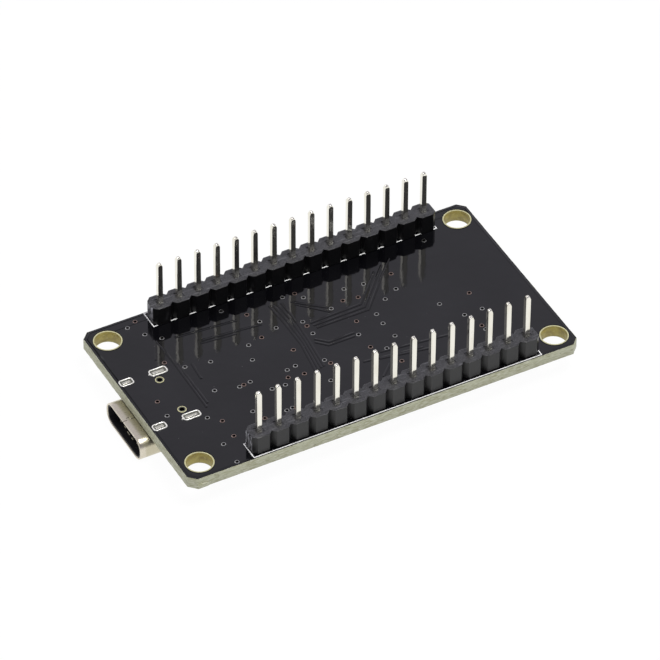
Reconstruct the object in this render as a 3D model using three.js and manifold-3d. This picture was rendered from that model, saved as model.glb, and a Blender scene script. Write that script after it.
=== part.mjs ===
// A wireless microcontroller dev board with two rows of header pins, as separate pieces.
// Millimetres, +Z up. The board lies solder side up, so its pins point up and its components face
// down. The origin is the centre of the solder side, and +X runs away from the USB end.
import * as THREE from 'three';
import { mergeVertices } from 'three/addons/utils/BufferGeometryUtils.js';
import Module from 'manifold-3d';

const wasm = await Module();
wasm.setup();

// Circuit board
const BOARD_LENGTH = 51.8;
const BOARD_WIDTH = 28.8;
const BOARD_THICKNESS = 1.6;
const BOARD_CHAMFER = 0.9;
const MOUNT_HOLE_DIAMETER = 3.2;
const MOUNT_HOLE_SPACING_X = 47.2;
const MOUNT_HOLE_SPACING_Y = 23.8;
const MOUNT_HOLE_SHIFT_X = 0.13;
const CLEAR_HALF_WIDTH = 11.0;

// Header rows
const PINS_PER_ROW = 15;
const PITCH = 2.54;
const ROW_SPACING = 25.4;
const ROW_CENTRE_X = 1.65;
const STRIP_WIDTH = 2.54;
const STRIP_HEIGHT = 2.54;
const STRIP_CHAMFER = 0.5;
const PIN_WIDTH = 0.64;
const PIN_TIP_WIDTH = 0.34;
const PIN_TIP_LENGTH = 0.42;
const PIN_TOP = 8.53;
const PIN_BOTTOM = -3.05;
const PIN_STRIP_HOLE = 0.68;
const PIN_BOARD_HOLE_DIAMETER = 1.0;

// USB-C receptacle, measured from the mark that its four legs and two pegs are placed from
const USB_X = -23.75;
const USB_LENGTH = 7.35;
const USB_WIDTH = 8.94;
const USB_HEIGHT = 3.16;
const USB_GAP = 0.04;
const USB_WALL = 0.3;
const USB_RADIUS = 1.4;
const USB_LEG_Y = 4.32;
const USB_LEG_WIDTH = 0.3;
const USB_LEG_DEPTH = 1.45;
const USB_LEGS = [
  { x: -1.05, slot: 1.2, leg: 0.8 },
  { x: 3.13, slot: 1.7, leg: 1.2 },
];
const USB_SLOT_WIDTH = 0.6;
const USB_PEG_X = 2.6;
const USB_PEG_Y = 2.89;
const USB_PEG_DIAMETER = 0.5;
const USB_PEG_HOLE_DIAMETER = 0.65;
const USB_PEG_DEPTH = 0.9;
const TONGUE_LENGTH = 4.45;
const TONGUE_WIDTH = 6.69;
const TONGUE_THICKNESS = 0.7;
const INSULATOR_LENGTH = 1.8;
const INSULATOR_INSET = 0.25;
const INSULATOR_CLEARANCE = 0.02;
const SHELL_FOOT_INSET = 1.0;
const FOOT_CLEARANCE = 0.1;
const MID_PLATE_THICKNESS = 0.15;
const MID_PLATE_SLOT = 0.17;
const MID_PLATE_END_CLEARANCE = 0.04;
const MID_PLATE_SIDE_CLEARANCE = 0.1;

// Radio module
const MODULE = { x: 12.95, length: 25.5, width: 18.0, thickness: 0.8 };
const SHIELD = { x: 9.9, length: 17.6, width: 15.8, height: 2.4, wall: 0.2, radius: 0.6 };
const PROCESSOR = { x: 8.4, y: 1.2, length: 6.0, width: 6.0, height: 0.85 };
const FLASH = { x: 14.6, y: -2.6, length: 5.0, width: 6.0, height: 0.8 };
const CRYSTAL = { x: 4.0, y: -3.6, length: 3.2, width: 2.5, height: 0.7 };

// Tactile buttons
const BUTTON = { length: 4.0, width: 3.0, baseHeight: 1.25 };
const BUTTON_TAB = { reach: 0.35, width: 1.0, thickness: 0.15 };
const BUTTON_COVER = { thickness: 0.15, radius: 0.3, steps: 2 };
const BUTTON_WELL = { radius: 1.2, depth: 0.95 };
const PLUNGER = { radius: 0.75, top: 2.0, holeRadius: 0.82 };
const FLANGE = { radius: 1.0, height: 0.3, clearance: 0.02 };
const NUB = { radius: 0.35, height: 0.27 };
const DOME = { radius: 1.05, thickness: 0.08, rise: 0.34, rings: 6 };
const BUTTON_X = -21.4;
const BUTTON_Y = 7.4;

// Chips with leads: body length runs along Y, and leads stand out along X
const SERIAL_CHIP = {
  x: -12.6, y: 3.4, length: 9.9, width: 3.9, bottom: 0.12, top: 1.6,
  span: 6.0, foot: 0.7, leadWidth: 0.42, leadThickness: 0.2, pitch: 1.27, left: 8, right: 8,
};
const REGULATOR = {
  x: -12.6, y: -6.2, length: 6.5, width: 3.5, bottom: 0.06, top: 1.66,
  span: 7.0, foot: 0.8, leadWidth: 0.75, leadThickness: 0.25, pitch: 2.3, left: 3, right: 1, rightWidth: 3.0,
};
const TRANSISTOR = {
  length: 2.9, width: 1.3, bottom: 0.06, top: 1.02,
  span: 2.4, foot: 0.35, leadWidth: 0.4, leadThickness: 0.12, pitch: 1.9, left: 2, right: 1,
};
const TRANSISTORS = [{ x: -6.4, y: 4.0 }, { x: -6.4, y: 0.2 }];
const DIODE = {
  x: -17.5, y: 0, length: 2.7, width: 1.6, bottom: 0.05, top: 1.1,
  leadReach: 0.5, leadWidth: 0.6, leadThickness: 0.15,
};
const LEAD_EMBED = 0.3;

// Two-terminal parts: length runs along Y
const LED = { length: 1.6, width: 0.8, height: 0.6, lensLength: 1.0, lensBottom: 0.1, baseHeight: 0.25 };
const LEDS = [{ name: 'power_led', x: -18.6, y: -10.6 }, { name: 'user_led', x: -18.6, y: 10.6 }];
const CAPACITOR = { length: 3.2, width: 1.6, height: 1.6, cap: 0.5, lip: 0.03 };
const CAPACITORS = [{ x: -6.4, y: -4.0 }, { x: -6.4, y: -8.0 }];
const RESISTOR = { length: 2.0, width: 1.25, height: 0.5, cap: 0.35, lip: 0.02 };
const RESISTORS = [{ x: -15.4, y: -10.3 }, { x: -15.4, y: 10.3 }];

// Steps of a quarter circle, sides of a cylinder, how far a cutter passes the faces it cuts, how far
// joined bodies reach into each other, and how near two corners are when they count as one
const COARSE_ARC_STEPS = 4;
const ARC_STEPS = 6;
const FINE_ARC_STEPS = 9;
const ROUND_SIDES = 32;
const CUT_PAST = 1.0;
const OVERLAP = 0.1;
const PEG_OVERLAP = 0.3;
const SAME_POINT = 1e-5;

// ---- Materials ----

function material(color, roughness, metalness) {
  return new THREE.MeshStandardMaterial({ color, roughness, metalness });
}

const MATERIALS = {
  mask: material(0x2a2a2e, 0.25, 0.0),
  header: material(0x1d1d20, 0.6, 0.0),
  pin: material(0xe4dfcc, 0.3, 1.0),
  shell: material(0xc9c0a8, 0.3, 1.0),
  insulator: material(0x101012, 0.55, 0.0),
  moduleMask: material(0x17181c, 0.4, 0.0),
  shield: material(0xb9bcbd, 0.35, 1.0),
  chip: material(0x232326, 0.55, 0.0),
  steel: material(0xc4c6c8, 0.35, 1.0),
  button: material(0x151517, 0.5, 0.0),
  led: material(0xf1efe2, 0.3, 0.0),
  ceramic: material(0xa98a63, 0.6, 0.0),
  resistor: material(0x1a1a1c, 0.4, 0.0),
};

// ---- Solid helpers ----

// A closed three.js geometry as a solid that can be joined and cut.
function solid(geometry) {
  const bare = new THREE.BufferGeometry();
  bare.setAttribute('position', geometry.getAttribute('position').clone());
  if (geometry.index) {
    bare.setIndex(geometry.index.clone());
  }
  const merged = mergeVertices(bare, SAME_POINT);
  return new wasm.Manifold(new wasm.Mesh({
    numProp: 3,
    vertProperties: merged.attributes.position.array,
    triVerts: new Uint32Array(merged.index.array),
  }));
}

function geometryOf(body) {
  const mesh = body.getMesh();
  const geometry = new THREE.BufferGeometry();
  geometry.setAttribute('position', new THREE.BufferAttribute(mesh.vertProperties, 3));
  geometry.setIndex(new THREE.BufferAttribute(mesh.triVerts, 1));
  const flat = geometry.toNonIndexed();
  flat.computeVertexNormals();
  return flat;
}

function join(bodies) {
  return bodies.reduce((whole, body) => whole.add(body));
}

// A box from its size, its centre in X and Y, and its lowest and highest Z.
function box(length, width, x, y, bottom, top) {
  const geometry = new THREE.BoxGeometry(length, width, top - bottom);
  return solid(geometry.translate(x, y, (bottom + top) / 2));
}

// A rectangle with rounded corners. It is a circle where the radius is half of both sides, a slot
// where it is half of the shorter one, and a chamfered rectangle where each corner has one step.
function roundedOutline(x, y, length, width, radius, steps) {
  const points = [];
  for (let corner = 0; corner < 4; corner++) {
    const sideX = corner === 0 || corner === 3 ? 1 : -1;
    const sideY = corner < 2 ? 1 : -1;
    for (let step = 0; step <= steps; step++) {
      const angle = (Math.PI / 2) * (corner + step / steps);
      const point = new THREE.Vector2(
        x + sideX * (length / 2 - radius) + radius * Math.cos(angle),
        y + sideY * (width / 2 - radius) + radius * Math.sin(angle),
      );
      if (points.every((other) => other.distanceTo(point) > SAME_POINT)) {
        points.push(point);
      }
    }
  }
  return points;
}

function circleOutline(x, y, radius, steps) {
  return roundedOutline(x, y, 2 * radius, 2 * radius, radius, steps);
}

function extruded(points, depth) {
  return new THREE.ExtrudeGeometry(new THREE.Shape(points), { depth, bevelEnabled: false });
}

// An outline in X and Y, extruded from one height to another.
function prism(points, bottom, top) {
  return solid(extruded(points, top - bottom).translate(0, 0, bottom));
}

// A solid with a hole of each outline cut right through it along Z.
function pierce(body, outlines, bottom, top) {
  const plugs = outlines.map((outline) => prism(outline, bottom - CUT_PAST, top + CUT_PAST));
  return body.subtract(join(plugs));
}

// An outline in Y and Z, extruded along X.
function prismAlongX(points, from, to) {
  const turn = new THREE.Matrix4().makeBasis(
    new THREE.Vector3(0, 1, 0),
    new THREE.Vector3(0, 0, 1),
    new THREE.Vector3(1, 0, 0),
  );
  return solid(extruded(points, to - from).applyMatrix4(turn).translate(from, 0, 0));
}

// An outline in X and Z, extruded along Y and centred on it.
function prismAlongY(points, width, y) {
  const turn = new THREE.Matrix4().makeBasis(
    new THREE.Vector3(1, 0, 0),
    new THREE.Vector3(0, 0, 1),
    new THREE.Vector3(0, -1, 0),
  );
  return solid(extruded(points, width).applyMatrix4(turn).translate(0, y + width / 2, 0));
}

function cylinder(radius, x, y, bottom, top) {
  const geometry = new THREE.CylinderGeometry(radius, radius, top - bottom, ROUND_SIDES);
  return solid(geometry.rotateX(Math.PI / 2).translate(x, y, (bottom + top) / 2));
}

function piece(name, body, finish, group) {
  const mesh = new THREE.Mesh(geometryOf(body), finish);
  mesh.name = name;
  group.add(mesh);
  return mesh;
}

// ---- Circuit board and headers ----

function pinX(index) {
  return ROW_CENTRE_X + (index - (PINS_PER_ROW - 1) / 2) * PITCH;
}

function boardHoles() {
  const holes = [];
  for (const side of [-1, 1]) {
    for (const end of [-1, 1]) {
      const x = MOUNT_HOLE_SHIFT_X + (end * MOUNT_HOLE_SPACING_X) / 2;
      const y = (side * MOUNT_HOLE_SPACING_Y) / 2;
      holes.push(circleOutline(x, y, MOUNT_HOLE_DIAMETER / 2, FINE_ARC_STEPS));
    }
    for (let index = 0; index < PINS_PER_ROW; index++) {
      const y = (side * ROW_SPACING) / 2;
      holes.push(circleOutline(pinX(index), y, PIN_BOARD_HOLE_DIAMETER / 2, COARSE_ARC_STEPS));
    }
    for (const { x, slot } of USB_LEGS) {
      const radius = USB_SLOT_WIDTH / 2;
      const y = side * USB_LEG_Y;
      holes.push(roundedOutline(USB_X + x, y, slot, USB_SLOT_WIDTH, radius, COARSE_ARC_STEPS));
    }
    const pegRadius = USB_PEG_HOLE_DIAMETER / 2;
    holes.push(circleOutline(USB_X + USB_PEG_X, side * USB_PEG_Y, pegRadius, COARSE_ARC_STEPS));
  }
  return holes;
}

// The board is joined from a middle and two edge strips, so that the faces between the header rows
// and the faces under them stay apart.
function circuitBoard() {
  const outline = roundedOutline(0, 0, BOARD_LENGTH, BOARD_WIDTH, BOARD_CHAMFER, 1);
  const blank = prism(outline, -BOARD_THICKNESS, 0);
  const whole = pierce(blank, boardHoles(), -BOARD_THICKNESS, 0);
  const middle = box(
    BOARD_LENGTH + 2 * CUT_PAST, 2 * CLEAR_HALF_WIDTH, 0, 0, -BOARD_THICKNESS - CUT_PAST, CUT_PAST);
  return whole.intersect(middle).add(whole.subtract(middle));
}

// One moulded strip: a row of blocks with chamfered corners, and a square hole for each pin.
function headerStrip() {
  const half = STRIP_WIDTH / 2;
  const flat = PITCH / 2 - STRIP_CHAMFER;
  const points = [];
  for (const side of [-1, 1]) {
    for (let step = 0; step < PINS_PER_ROW; step++) {
      const x = side < 0 ? pinX(step) : pinX(PINS_PER_ROW - 1 - step);
      points.push(new THREE.Vector2(x + side * (PITCH / 2), side * (half - STRIP_CHAMFER)));
      points.push(new THREE.Vector2(x + side * flat, side * half));
      points.push(new THREE.Vector2(x - side * flat, side * half));
    }
    const end = side < 0 ? pinX(PINS_PER_ROW - 1) : pinX(0);
    points.push(new THREE.Vector2(end - side * (PITCH / 2), side * (half - STRIP_CHAMFER)));
  }
  const holes = [];
  for (let index = 0; index < PINS_PER_ROW; index++) {
    holes.push(box(PIN_STRIP_HOLE, PIN_STRIP_HOLE, pinX(index), 0, -CUT_PAST, STRIP_HEIGHT + CUT_PAST));
  }
  return prism(points, 0, STRIP_HEIGHT).subtract(join(holes));
}

// A square pin with a tapered tip at each end, turned as a four-sided lathe.
function headerPin() {
  const side = PIN_WIDTH * Math.SQRT1_2;
  const tip = PIN_TIP_WIDTH * Math.SQRT1_2;
  const profile = [
    new THREE.Vector2(0, PIN_BOTTOM),
    new THREE.Vector2(tip, PIN_BOTTOM),
    new THREE.Vector2(side, PIN_BOTTOM + PIN_TIP_LENGTH),
    new THREE.Vector2(side, PIN_TOP - PIN_TIP_LENGTH),
    new THREE.Vector2(tip, PIN_TOP),
    new THREE.Vector2(0, PIN_TOP),
  ];
  const geometry = new THREE.LatheGeometry(profile, 4, Math.PI / 4);
  return solid(geometry.rotateX(Math.PI / 2));
}

function headerRow(label, side) {
  const row = new THREE.Group();
  row.position.y = (side * ROW_SPACING) / 2;
  piece(`header_strip_${label}`, headerStrip(), MATERIALS.header, row);
  const pinBody = headerPin();
  for (let index = 0; index < PINS_PER_ROW; index++) {
    const number = String(index + 1).padStart(2, '0');
    const pin = piece(`pin_${label}_${number}`, pinBody, MATERIALS.pin, row);
    pin.position.x = pinX(index);
  }
  return row;
}

// ---- USB-C receptacle, upright on its footprint ----

function usbShell(mouth, back) {
  const middle = USB_GAP + USB_HEIGHT / 2;
  const outer = roundedOutline(0, middle, USB_WIDTH, USB_HEIGHT, USB_RADIUS, ARC_STEPS);
  const inner = roundedOutline(
    0, middle, USB_WIDTH - 2 * USB_WALL, USB_HEIGHT - 2 * USB_WALL, USB_RADIUS - USB_WALL, ARC_STEPS);
  const tube = prismAlongX(outer, mouth, back).subtract(prismAlongX(inner, mouth - CUT_PAST, back + CUT_PAST));
  const footWidth = 2 * (USB_LEG_Y - SHELL_FOOT_INSET);
  const footX = back + (CUT_PAST - INSULATOR_LENGTH) / 2;
  const footOpening = box(INSULATOR_LENGTH + CUT_PAST, footWidth, footX, 0, -CUT_PAST, middle);
  const legs = [];
  for (const side of [-1, 1]) {
    for (const { x, leg } of USB_LEGS) {
      const legY = side * (USB_WIDTH - USB_LEG_WIDTH) / 2;
      legs.push(box(leg, USB_LEG_WIDTH, USB_X + x, legY, -USB_LEG_DEPTH, middle));
    }
  }
  return join([tube.subtract(footOpening), ...legs]);
}

// The moulding fills the back of the shell, stands on the board through the shell's foot opening,
// and carries the tongue. Its slot holds the mid plate.
function usbInsulator(back) {
  const middle = USB_GAP + USB_HEIGHT / 2;
  const front = back - INSULATOR_LENGTH;
  const inset = 2 * (USB_WALL + INSULATOR_CLEARANCE);
  const fill = roundedOutline(
    0, middle, USB_WIDTH - inset, USB_HEIGHT - inset, USB_RADIUS - inset / 2, ARC_STEPS);
  const footWidth = 2 * (USB_LEG_Y - SHELL_FOOT_INSET - FOOT_CLEARANCE);
  const footLength = INSULATOR_LENGTH - INSULATOR_INSET - FOOT_CLEARANCE;
  const parts = [
    prismAlongX(fill, front, back - INSULATOR_INSET),
    box(footLength, footWidth, (front + FOOT_CLEARANCE + back - INSULATOR_INSET) / 2, 0, 0, middle),
    box(TONGUE_LENGTH + 2 * OVERLAP, TONGUE_WIDTH, front - TONGUE_LENGTH / 2 + OVERLAP, 0,
      middle - TONGUE_THICKNESS / 2, middle + TONGUE_THICKNESS / 2),
  ];
  for (const side of [-1, 1]) {
    const pegY = side * USB_PEG_Y;
    parts.push(cylinder(USB_PEG_DIAMETER / 2, USB_X + USB_PEG_X, pegY, -USB_PEG_DEPTH, PEG_OVERLAP));
  }
  const slot = box(TONGUE_LENGTH, TONGUE_WIDTH + CUT_PAST, front - TONGUE_LENGTH / 2, 0,
    middle - MID_PLATE_SLOT / 2, middle + MID_PLATE_SLOT / 2);
  return join(parts).subtract(slot);
}

function usbReceptacle(group) {
  const mouth = USB_X - USB_LENGTH / 2;
  const back = USB_X + USB_LENGTH / 2;
  const middle = USB_GAP + USB_HEIGHT / 2;
  const front = back - INSULATOR_LENGTH;
  const plateLength = TONGUE_LENGTH - MID_PLATE_END_CLEARANCE;
  const plateX = front - (TONGUE_LENGTH + MID_PLATE_END_CLEARANCE) / 2;
  const plate = box(plateLength, TONGUE_WIDTH - MID_PLATE_SIDE_CLEARANCE, plateX, 0,
    middle - MID_PLATE_THICKNESS / 2, middle + MID_PLATE_THICKNESS / 2);
  piece('usb_shell', usbShell(mouth, back), MATERIALS.shell, group);
  piece('usb_insulator', usbInsulator(back), MATERIALS.insulator, group);
  piece('usb_mid_plate', plate, MATERIALS.steel, group);
}

// ---- Radio module ----

function radioModule(group) {
  const { x, length, width, thickness } = MODULE;
  piece('module_board', box(length, width, x, 0, 0, thickness), MATERIALS.moduleMask, group);
  const { wall, radius, height } = SHIELD;
  const outer = roundedOutline(SHIELD.x, 0, SHIELD.length, SHIELD.width, radius, ARC_STEPS);
  const inner = roundedOutline(
    SHIELD.x, 0, SHIELD.length - 2 * wall, SHIELD.width - 2 * wall, radius - wall, ARC_STEPS);
  const can = prism(outer, thickness, thickness + height);
  const hollow = prism(inner, thickness - CUT_PAST, thickness + height - wall);
  piece('module_shield', can.subtract(hollow), MATERIALS.shield, group);
  const chips = { module_processor: PROCESSOR, module_flash: FLASH, module_crystal: CRYSTAL };
  for (const [name, chip] of Object.entries(chips)) {
    const body = box(chip.length, chip.width, chip.x, chip.y, thickness, thickness + chip.height);
    piece(name, body, name === 'module_crystal' ? MATERIALS.steel : MATERIALS.chip, group);
  }
}

// ---- Tactile buttons ----

function buttonBase() {
  const { length, width, baseHeight } = BUTTON;
  const block = box(length, width, 0, 0, 0, baseHeight);
  const tabs = box(length + 2 * BUTTON_TAB.reach, BUTTON_TAB.width, 0, 0, 0, BUTTON_TAB.thickness);
  const well = cylinder(BUTTON_WELL.radius, 0, 0, baseHeight - BUTTON_WELL.depth, baseHeight + CUT_PAST);
  return block.add(tabs).subtract(well);
}

function buttonCover() {
  const { length, width, baseHeight } = BUTTON;
  const { thickness, radius, steps } = BUTTON_COVER;
  const top = baseHeight + thickness;
  const plate = prism(roundedOutline(0, 0, length, width, radius, steps), baseHeight, top);
  return pierce(plate, [circleOutline(0, 0, PLUNGER.holeRadius, ARC_STEPS)], baseHeight, top);
}

// A thin cap of steel that stands on the well's floor and bows up to the plunger.
function buttonDome() {
  const floor = BUTTON.baseHeight - BUTTON_WELL.depth;
  const { radius, thickness, rise, rings } = DOME;
  const profile = [];
  for (let step = 0; step <= rings; step++) {
    const share = step / rings;
    profile.push(new THREE.Vector2(radius * share, floor + (rise - thickness) * (1 - share * share)));
  }
  for (let step = rings; step >= 0; step--) {
    const share = step / rings;
    const height = thickness + (rise - thickness) * (1 - share * share);
    profile.push(new THREE.Vector2(radius * share, floor + height));
  }
  return solid(new THREE.LatheGeometry(profile, ROUND_SIDES / 2).rotateX(Math.PI / 2));
}

// A stem with a flange that the cover holds in, and a nub that meets the dome.
function buttonPlunger() {
  const flangeTop = BUTTON.baseHeight - FLANGE.clearance;
  const flangeBottom = flangeTop - FLANGE.height;
  const flange = cylinder(FLANGE.radius, 0, 0, flangeBottom, flangeTop);
  const stem = cylinder(PLUNGER.radius, 0, 0, flangeBottom, PLUNGER.top);
  const nub = cylinder(NUB.radius, 0, 0, flangeBottom - NUB.height, flangeTop);
  return join([flange, stem, nub]);
}

function tactileButton(label, y) {
  const button = new THREE.Group();
  button.position.set(BUTTON_X, y, 0);
  piece(`${label}_button_base`, buttonBase(), MATERIALS.button, button);
  piece(`${label}_button_dome`, buttonDome(), MATERIALS.steel, button);
  piece(`${label}_button_plunger`, buttonPlunger(), MATERIALS.button, button);
  piece(`${label}_button_cover`, buttonCover(), MATERIALS.steel, button);
  return button;
}

// ---- Chips and small parts ----

// A bent lead: out of the body at its middle height, down, and out along the board.
function bentLead(reach, bodyEdge, foot, thickness, exit) {
  const knee = reach - foot;
  return [
    new THREE.Vector2(bodyEdge - LEAD_EMBED, exit),
    new THREE.Vector2(knee, exit),
    new THREE.Vector2(knee, 0),
    new THREE.Vector2(reach, 0),
    new THREE.Vector2(reach, thickness),
    new THREE.Vector2(knee + thickness, thickness),
    new THREE.Vector2(knee + thickness, exit + thickness),
    new THREE.Vector2(bodyEdge - LEAD_EMBED, exit + thickness),
  ];
}

function leadedChip(chip) {
  const exit = (chip.bottom + chip.top) / 2 - chip.leadThickness / 2;
  const outline = bentLead(chip.span / 2, chip.width / 2, chip.foot, chip.leadThickness, exit);
  const bodies = [box(chip.width, chip.length, 0, 0, chip.bottom, chip.top)];
  for (const [side, count] of [[1, chip.right], [-1, chip.left]]) {
    const width = side > 0 && chip.rightWidth ? chip.rightWidth : chip.leadWidth;
    const points = side > 0 ? outline : outline.map(({ x, y }) => new THREE.Vector2(-x, y)).reverse();
    for (let index = 0; index < count; index++) {
      bodies.push(prismAlongY(points, width, (index - (count - 1) / 2) * chip.pitch));
    }
  }
  return join(bodies);
}

function diode() {
  const { length, width, bottom, top, leadReach, leadWidth, leadThickness } = DIODE;
  const body = box(width, length, 0, 0, bottom, top);
  const leads = box(leadWidth, length + 2 * leadReach, 0, 0, 0, leadThickness);
  return body.add(leads);
}

function led() {
  const base = box(LED.width, LED.length, 0, 0, 0, LED.baseHeight);
  return base.add(box(LED.width, LED.lensLength, 0, 0, LED.lensBottom, LED.height));
}

// A ceramic body with a slightly larger metal cap on each end.
function cappedChip({ length, width, height, cap, lip }) {
  const bodies = [box(width - 2 * lip, length - 2 * lip, 0, 0, lip, height - lip)];
  for (const side of [-1, 1]) {
    bodies.push(box(width, cap, 0, side * (length - cap) / 2, 0, height));
  }
  return join(bodies);
}

function smallParts(group) {
  const place = (name, body, finish, { x, y }) => piece(name, body, finish, group).position.set(x, y, 0);
  place('usb_serial_chip', leadedChip(SERIAL_CHIP), MATERIALS.chip, SERIAL_CHIP);
  place('voltage_regulator', leadedChip(REGULATOR), MATERIALS.chip, REGULATOR);
  place('input_diode', diode(), MATERIALS.chip, DIODE);
  TRANSISTORS.forEach((spot, index) => {
    place(`reset_transistor_${index + 1}`, leadedChip(TRANSISTOR), MATERIALS.chip, spot);
  });
  LEDS.forEach((spot) => place(spot.name, led(), MATERIALS.led, spot));
  CAPACITORS.forEach((spot, index) => {
    place(`supply_capacitor_${index + 1}`, cappedChip(CAPACITOR), MATERIALS.ceramic, spot);
  });
  RESISTORS.forEach((spot, index) => {
    place(`led_resistor_${index + 1}`, cappedChip(RESISTOR), MATERIALS.resistor, spot);
  });
}

// ---- Assembly ----

// Components stand upright on their own side, which is then turned over to face down, so in this
// group +Z leads away from the board and +Y leads to the front header.
function componentSide() {
  const side = new THREE.Group();
  side.position.z = -BOARD_THICKNESS;
  side.rotation.x = Math.PI;
  usbReceptacle(side);
  radioModule(side);
  side.add(tactileButton('reset', -BUTTON_Y));
  side.add(tactileButton('boot', BUTTON_Y));
  smallParts(side);
  return side;
}

const devBoard = new THREE.Group();
piece('circuit_board', circuitBoard(), MATERIALS.mask, devBoard);
devBoard.add(headerRow('front', -1));
devBoard.add(headerRow('back', 1));
devBoard.add(componentSide());

export default devBoard;
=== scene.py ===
import math
import random

import bmesh
import bpy
from mathutils import Matrix, Vector


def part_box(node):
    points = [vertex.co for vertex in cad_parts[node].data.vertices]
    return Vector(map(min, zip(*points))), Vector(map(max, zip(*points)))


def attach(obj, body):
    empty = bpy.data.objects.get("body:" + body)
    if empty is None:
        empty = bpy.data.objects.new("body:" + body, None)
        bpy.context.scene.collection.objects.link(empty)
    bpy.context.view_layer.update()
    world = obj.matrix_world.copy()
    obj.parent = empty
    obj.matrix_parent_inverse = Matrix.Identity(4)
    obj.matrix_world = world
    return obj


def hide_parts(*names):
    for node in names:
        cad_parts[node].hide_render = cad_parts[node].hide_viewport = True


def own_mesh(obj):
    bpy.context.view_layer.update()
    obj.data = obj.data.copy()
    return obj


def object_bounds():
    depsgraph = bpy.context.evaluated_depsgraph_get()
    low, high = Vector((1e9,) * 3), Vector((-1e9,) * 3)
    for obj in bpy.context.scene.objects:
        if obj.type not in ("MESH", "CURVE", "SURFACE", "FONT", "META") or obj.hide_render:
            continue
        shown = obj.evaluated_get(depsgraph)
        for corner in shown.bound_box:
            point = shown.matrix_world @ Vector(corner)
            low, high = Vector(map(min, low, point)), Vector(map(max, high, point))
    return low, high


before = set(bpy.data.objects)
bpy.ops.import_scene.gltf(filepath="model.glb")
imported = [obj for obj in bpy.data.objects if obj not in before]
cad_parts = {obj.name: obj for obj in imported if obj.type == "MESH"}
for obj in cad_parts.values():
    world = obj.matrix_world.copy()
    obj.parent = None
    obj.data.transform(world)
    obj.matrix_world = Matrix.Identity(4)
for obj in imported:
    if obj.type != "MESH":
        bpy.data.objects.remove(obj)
CAD_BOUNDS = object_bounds()

# Looks of a small microcontroller board that lies with its solder side and its header pins up.
# Meshes are made in millimetres, in the row frame, and solid() turns them into metres.
# Parts of the hidden component side are made standing on z = 0, and hung() puts them under the board.

MM = 0.001


def mm_box(node):
    low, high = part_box(node)
    return low / MM, high / MM


# ---- Driving dimensions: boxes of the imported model, and details in millimetres ----

BOARD_LOW, BOARD_HIGH = mm_box("circuit_board")
TOP, UNDER = BOARD_HIGH.z, BOARD_LOW.z
STRIP_LOW, STRIP_HIGH = mm_box("header_strip_front")
PIN_LOW, PIN_HIGH = mm_box("pin_front_01")
SHELL_LOW, SHELL_HIGH = mm_box("usb_shell")
FLOOR_LEVEL = CAD_BOUNDS[0].z / MM

SIDES = (-1, 1)
CORNERS = ((-1, -1), (1, -1), (1, 1), (-1, 1))
# The board's two faces: name, level, and the way into the board
FACES = (("solder_side", TOP, -1), ("component_side", UNDER, 1))

# Headers
PINS = 15
PITCH = (STRIP_HIGH.x - STRIP_LOW.x) / PINS
ROW_Y = -(STRIP_LOW.y + STRIP_HIGH.y) / 2
PIN_XS = [STRIP_LOW.x + PITCH * (index + 0.5) for index in range(PINS)]
STRIP_CHAMFER = 0.5
STRIP_RECESS = 0.52
SEAT_REACH = 0.55
PIN_WIDTH = 0.64
PIN_TIP_WIDTH = 0.34
PIN_TIP_LENGTH = 0.42

# Board and its holes
BOARD_CHAMFER = 0.9
COPPER_STEP = 0.03
MASK_DEPTH = 0.05
MASK_INSET = 0.03
POUR_INSET = 0.32
POUR_SLOPE = 0.14
TAB_STUB = (0.9, 2.3)
MOUNT_HOLE_RADIUS = 1.6
MOUNT_RING = 0.15
MOUNT_SPOTS = [(x, side * 11.9) for x in (-23.47, 23.73) for side in SIDES]
PIN_HOLE_RADIUS = 0.5
VIA_HOLE_RADIUS = 0.20
VIA_RING_RADIUS = 0.30
PEG_HOLE_RADIUS = 0.325
PEG_SPOTS = [(-21.15, side * 2.89) for side in SIDES]

# Receptacle. A pair of legs has its x, the length of its slots and the half length of its legs
LEG_Y = 4.32
LEG_PAIRS = ((-24.8, 1.2, 0.4), (-20.62, 1.7, 0.6))
SLOT_WIDTH = 0.6
SLOTS = [(x, side * LEG_Y, length) for x, length, _ in LEG_PAIRS for side in SIDES]
SHELL_TOP = UNDER - 0.04
SHELL_MIDDLE = (SHELL_LOW.z + SHELL_TOP) / 2
SHELL_LENGTH = 7.35
SHELL_WALL = 0.2
SHELL_RADIUS = 1.4
SEAM_HALF_GAP = 0.045
SEAM_KEY = 0.34
CONTACTS = 12
CONTACT_PITCH = 0.5
LONG_CONTACTS = (0, 3, 8, 11)

# Component side
MODULE_THICKNESS = 0.8
MODULE_PITCH = 1.27
NOTCH_RADIUS = 0.28
NOTCH_STEPS = 6
CAN_WALL = 0.2
DOME_SHEET = 0.08
DOME_STEPS = 8

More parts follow.
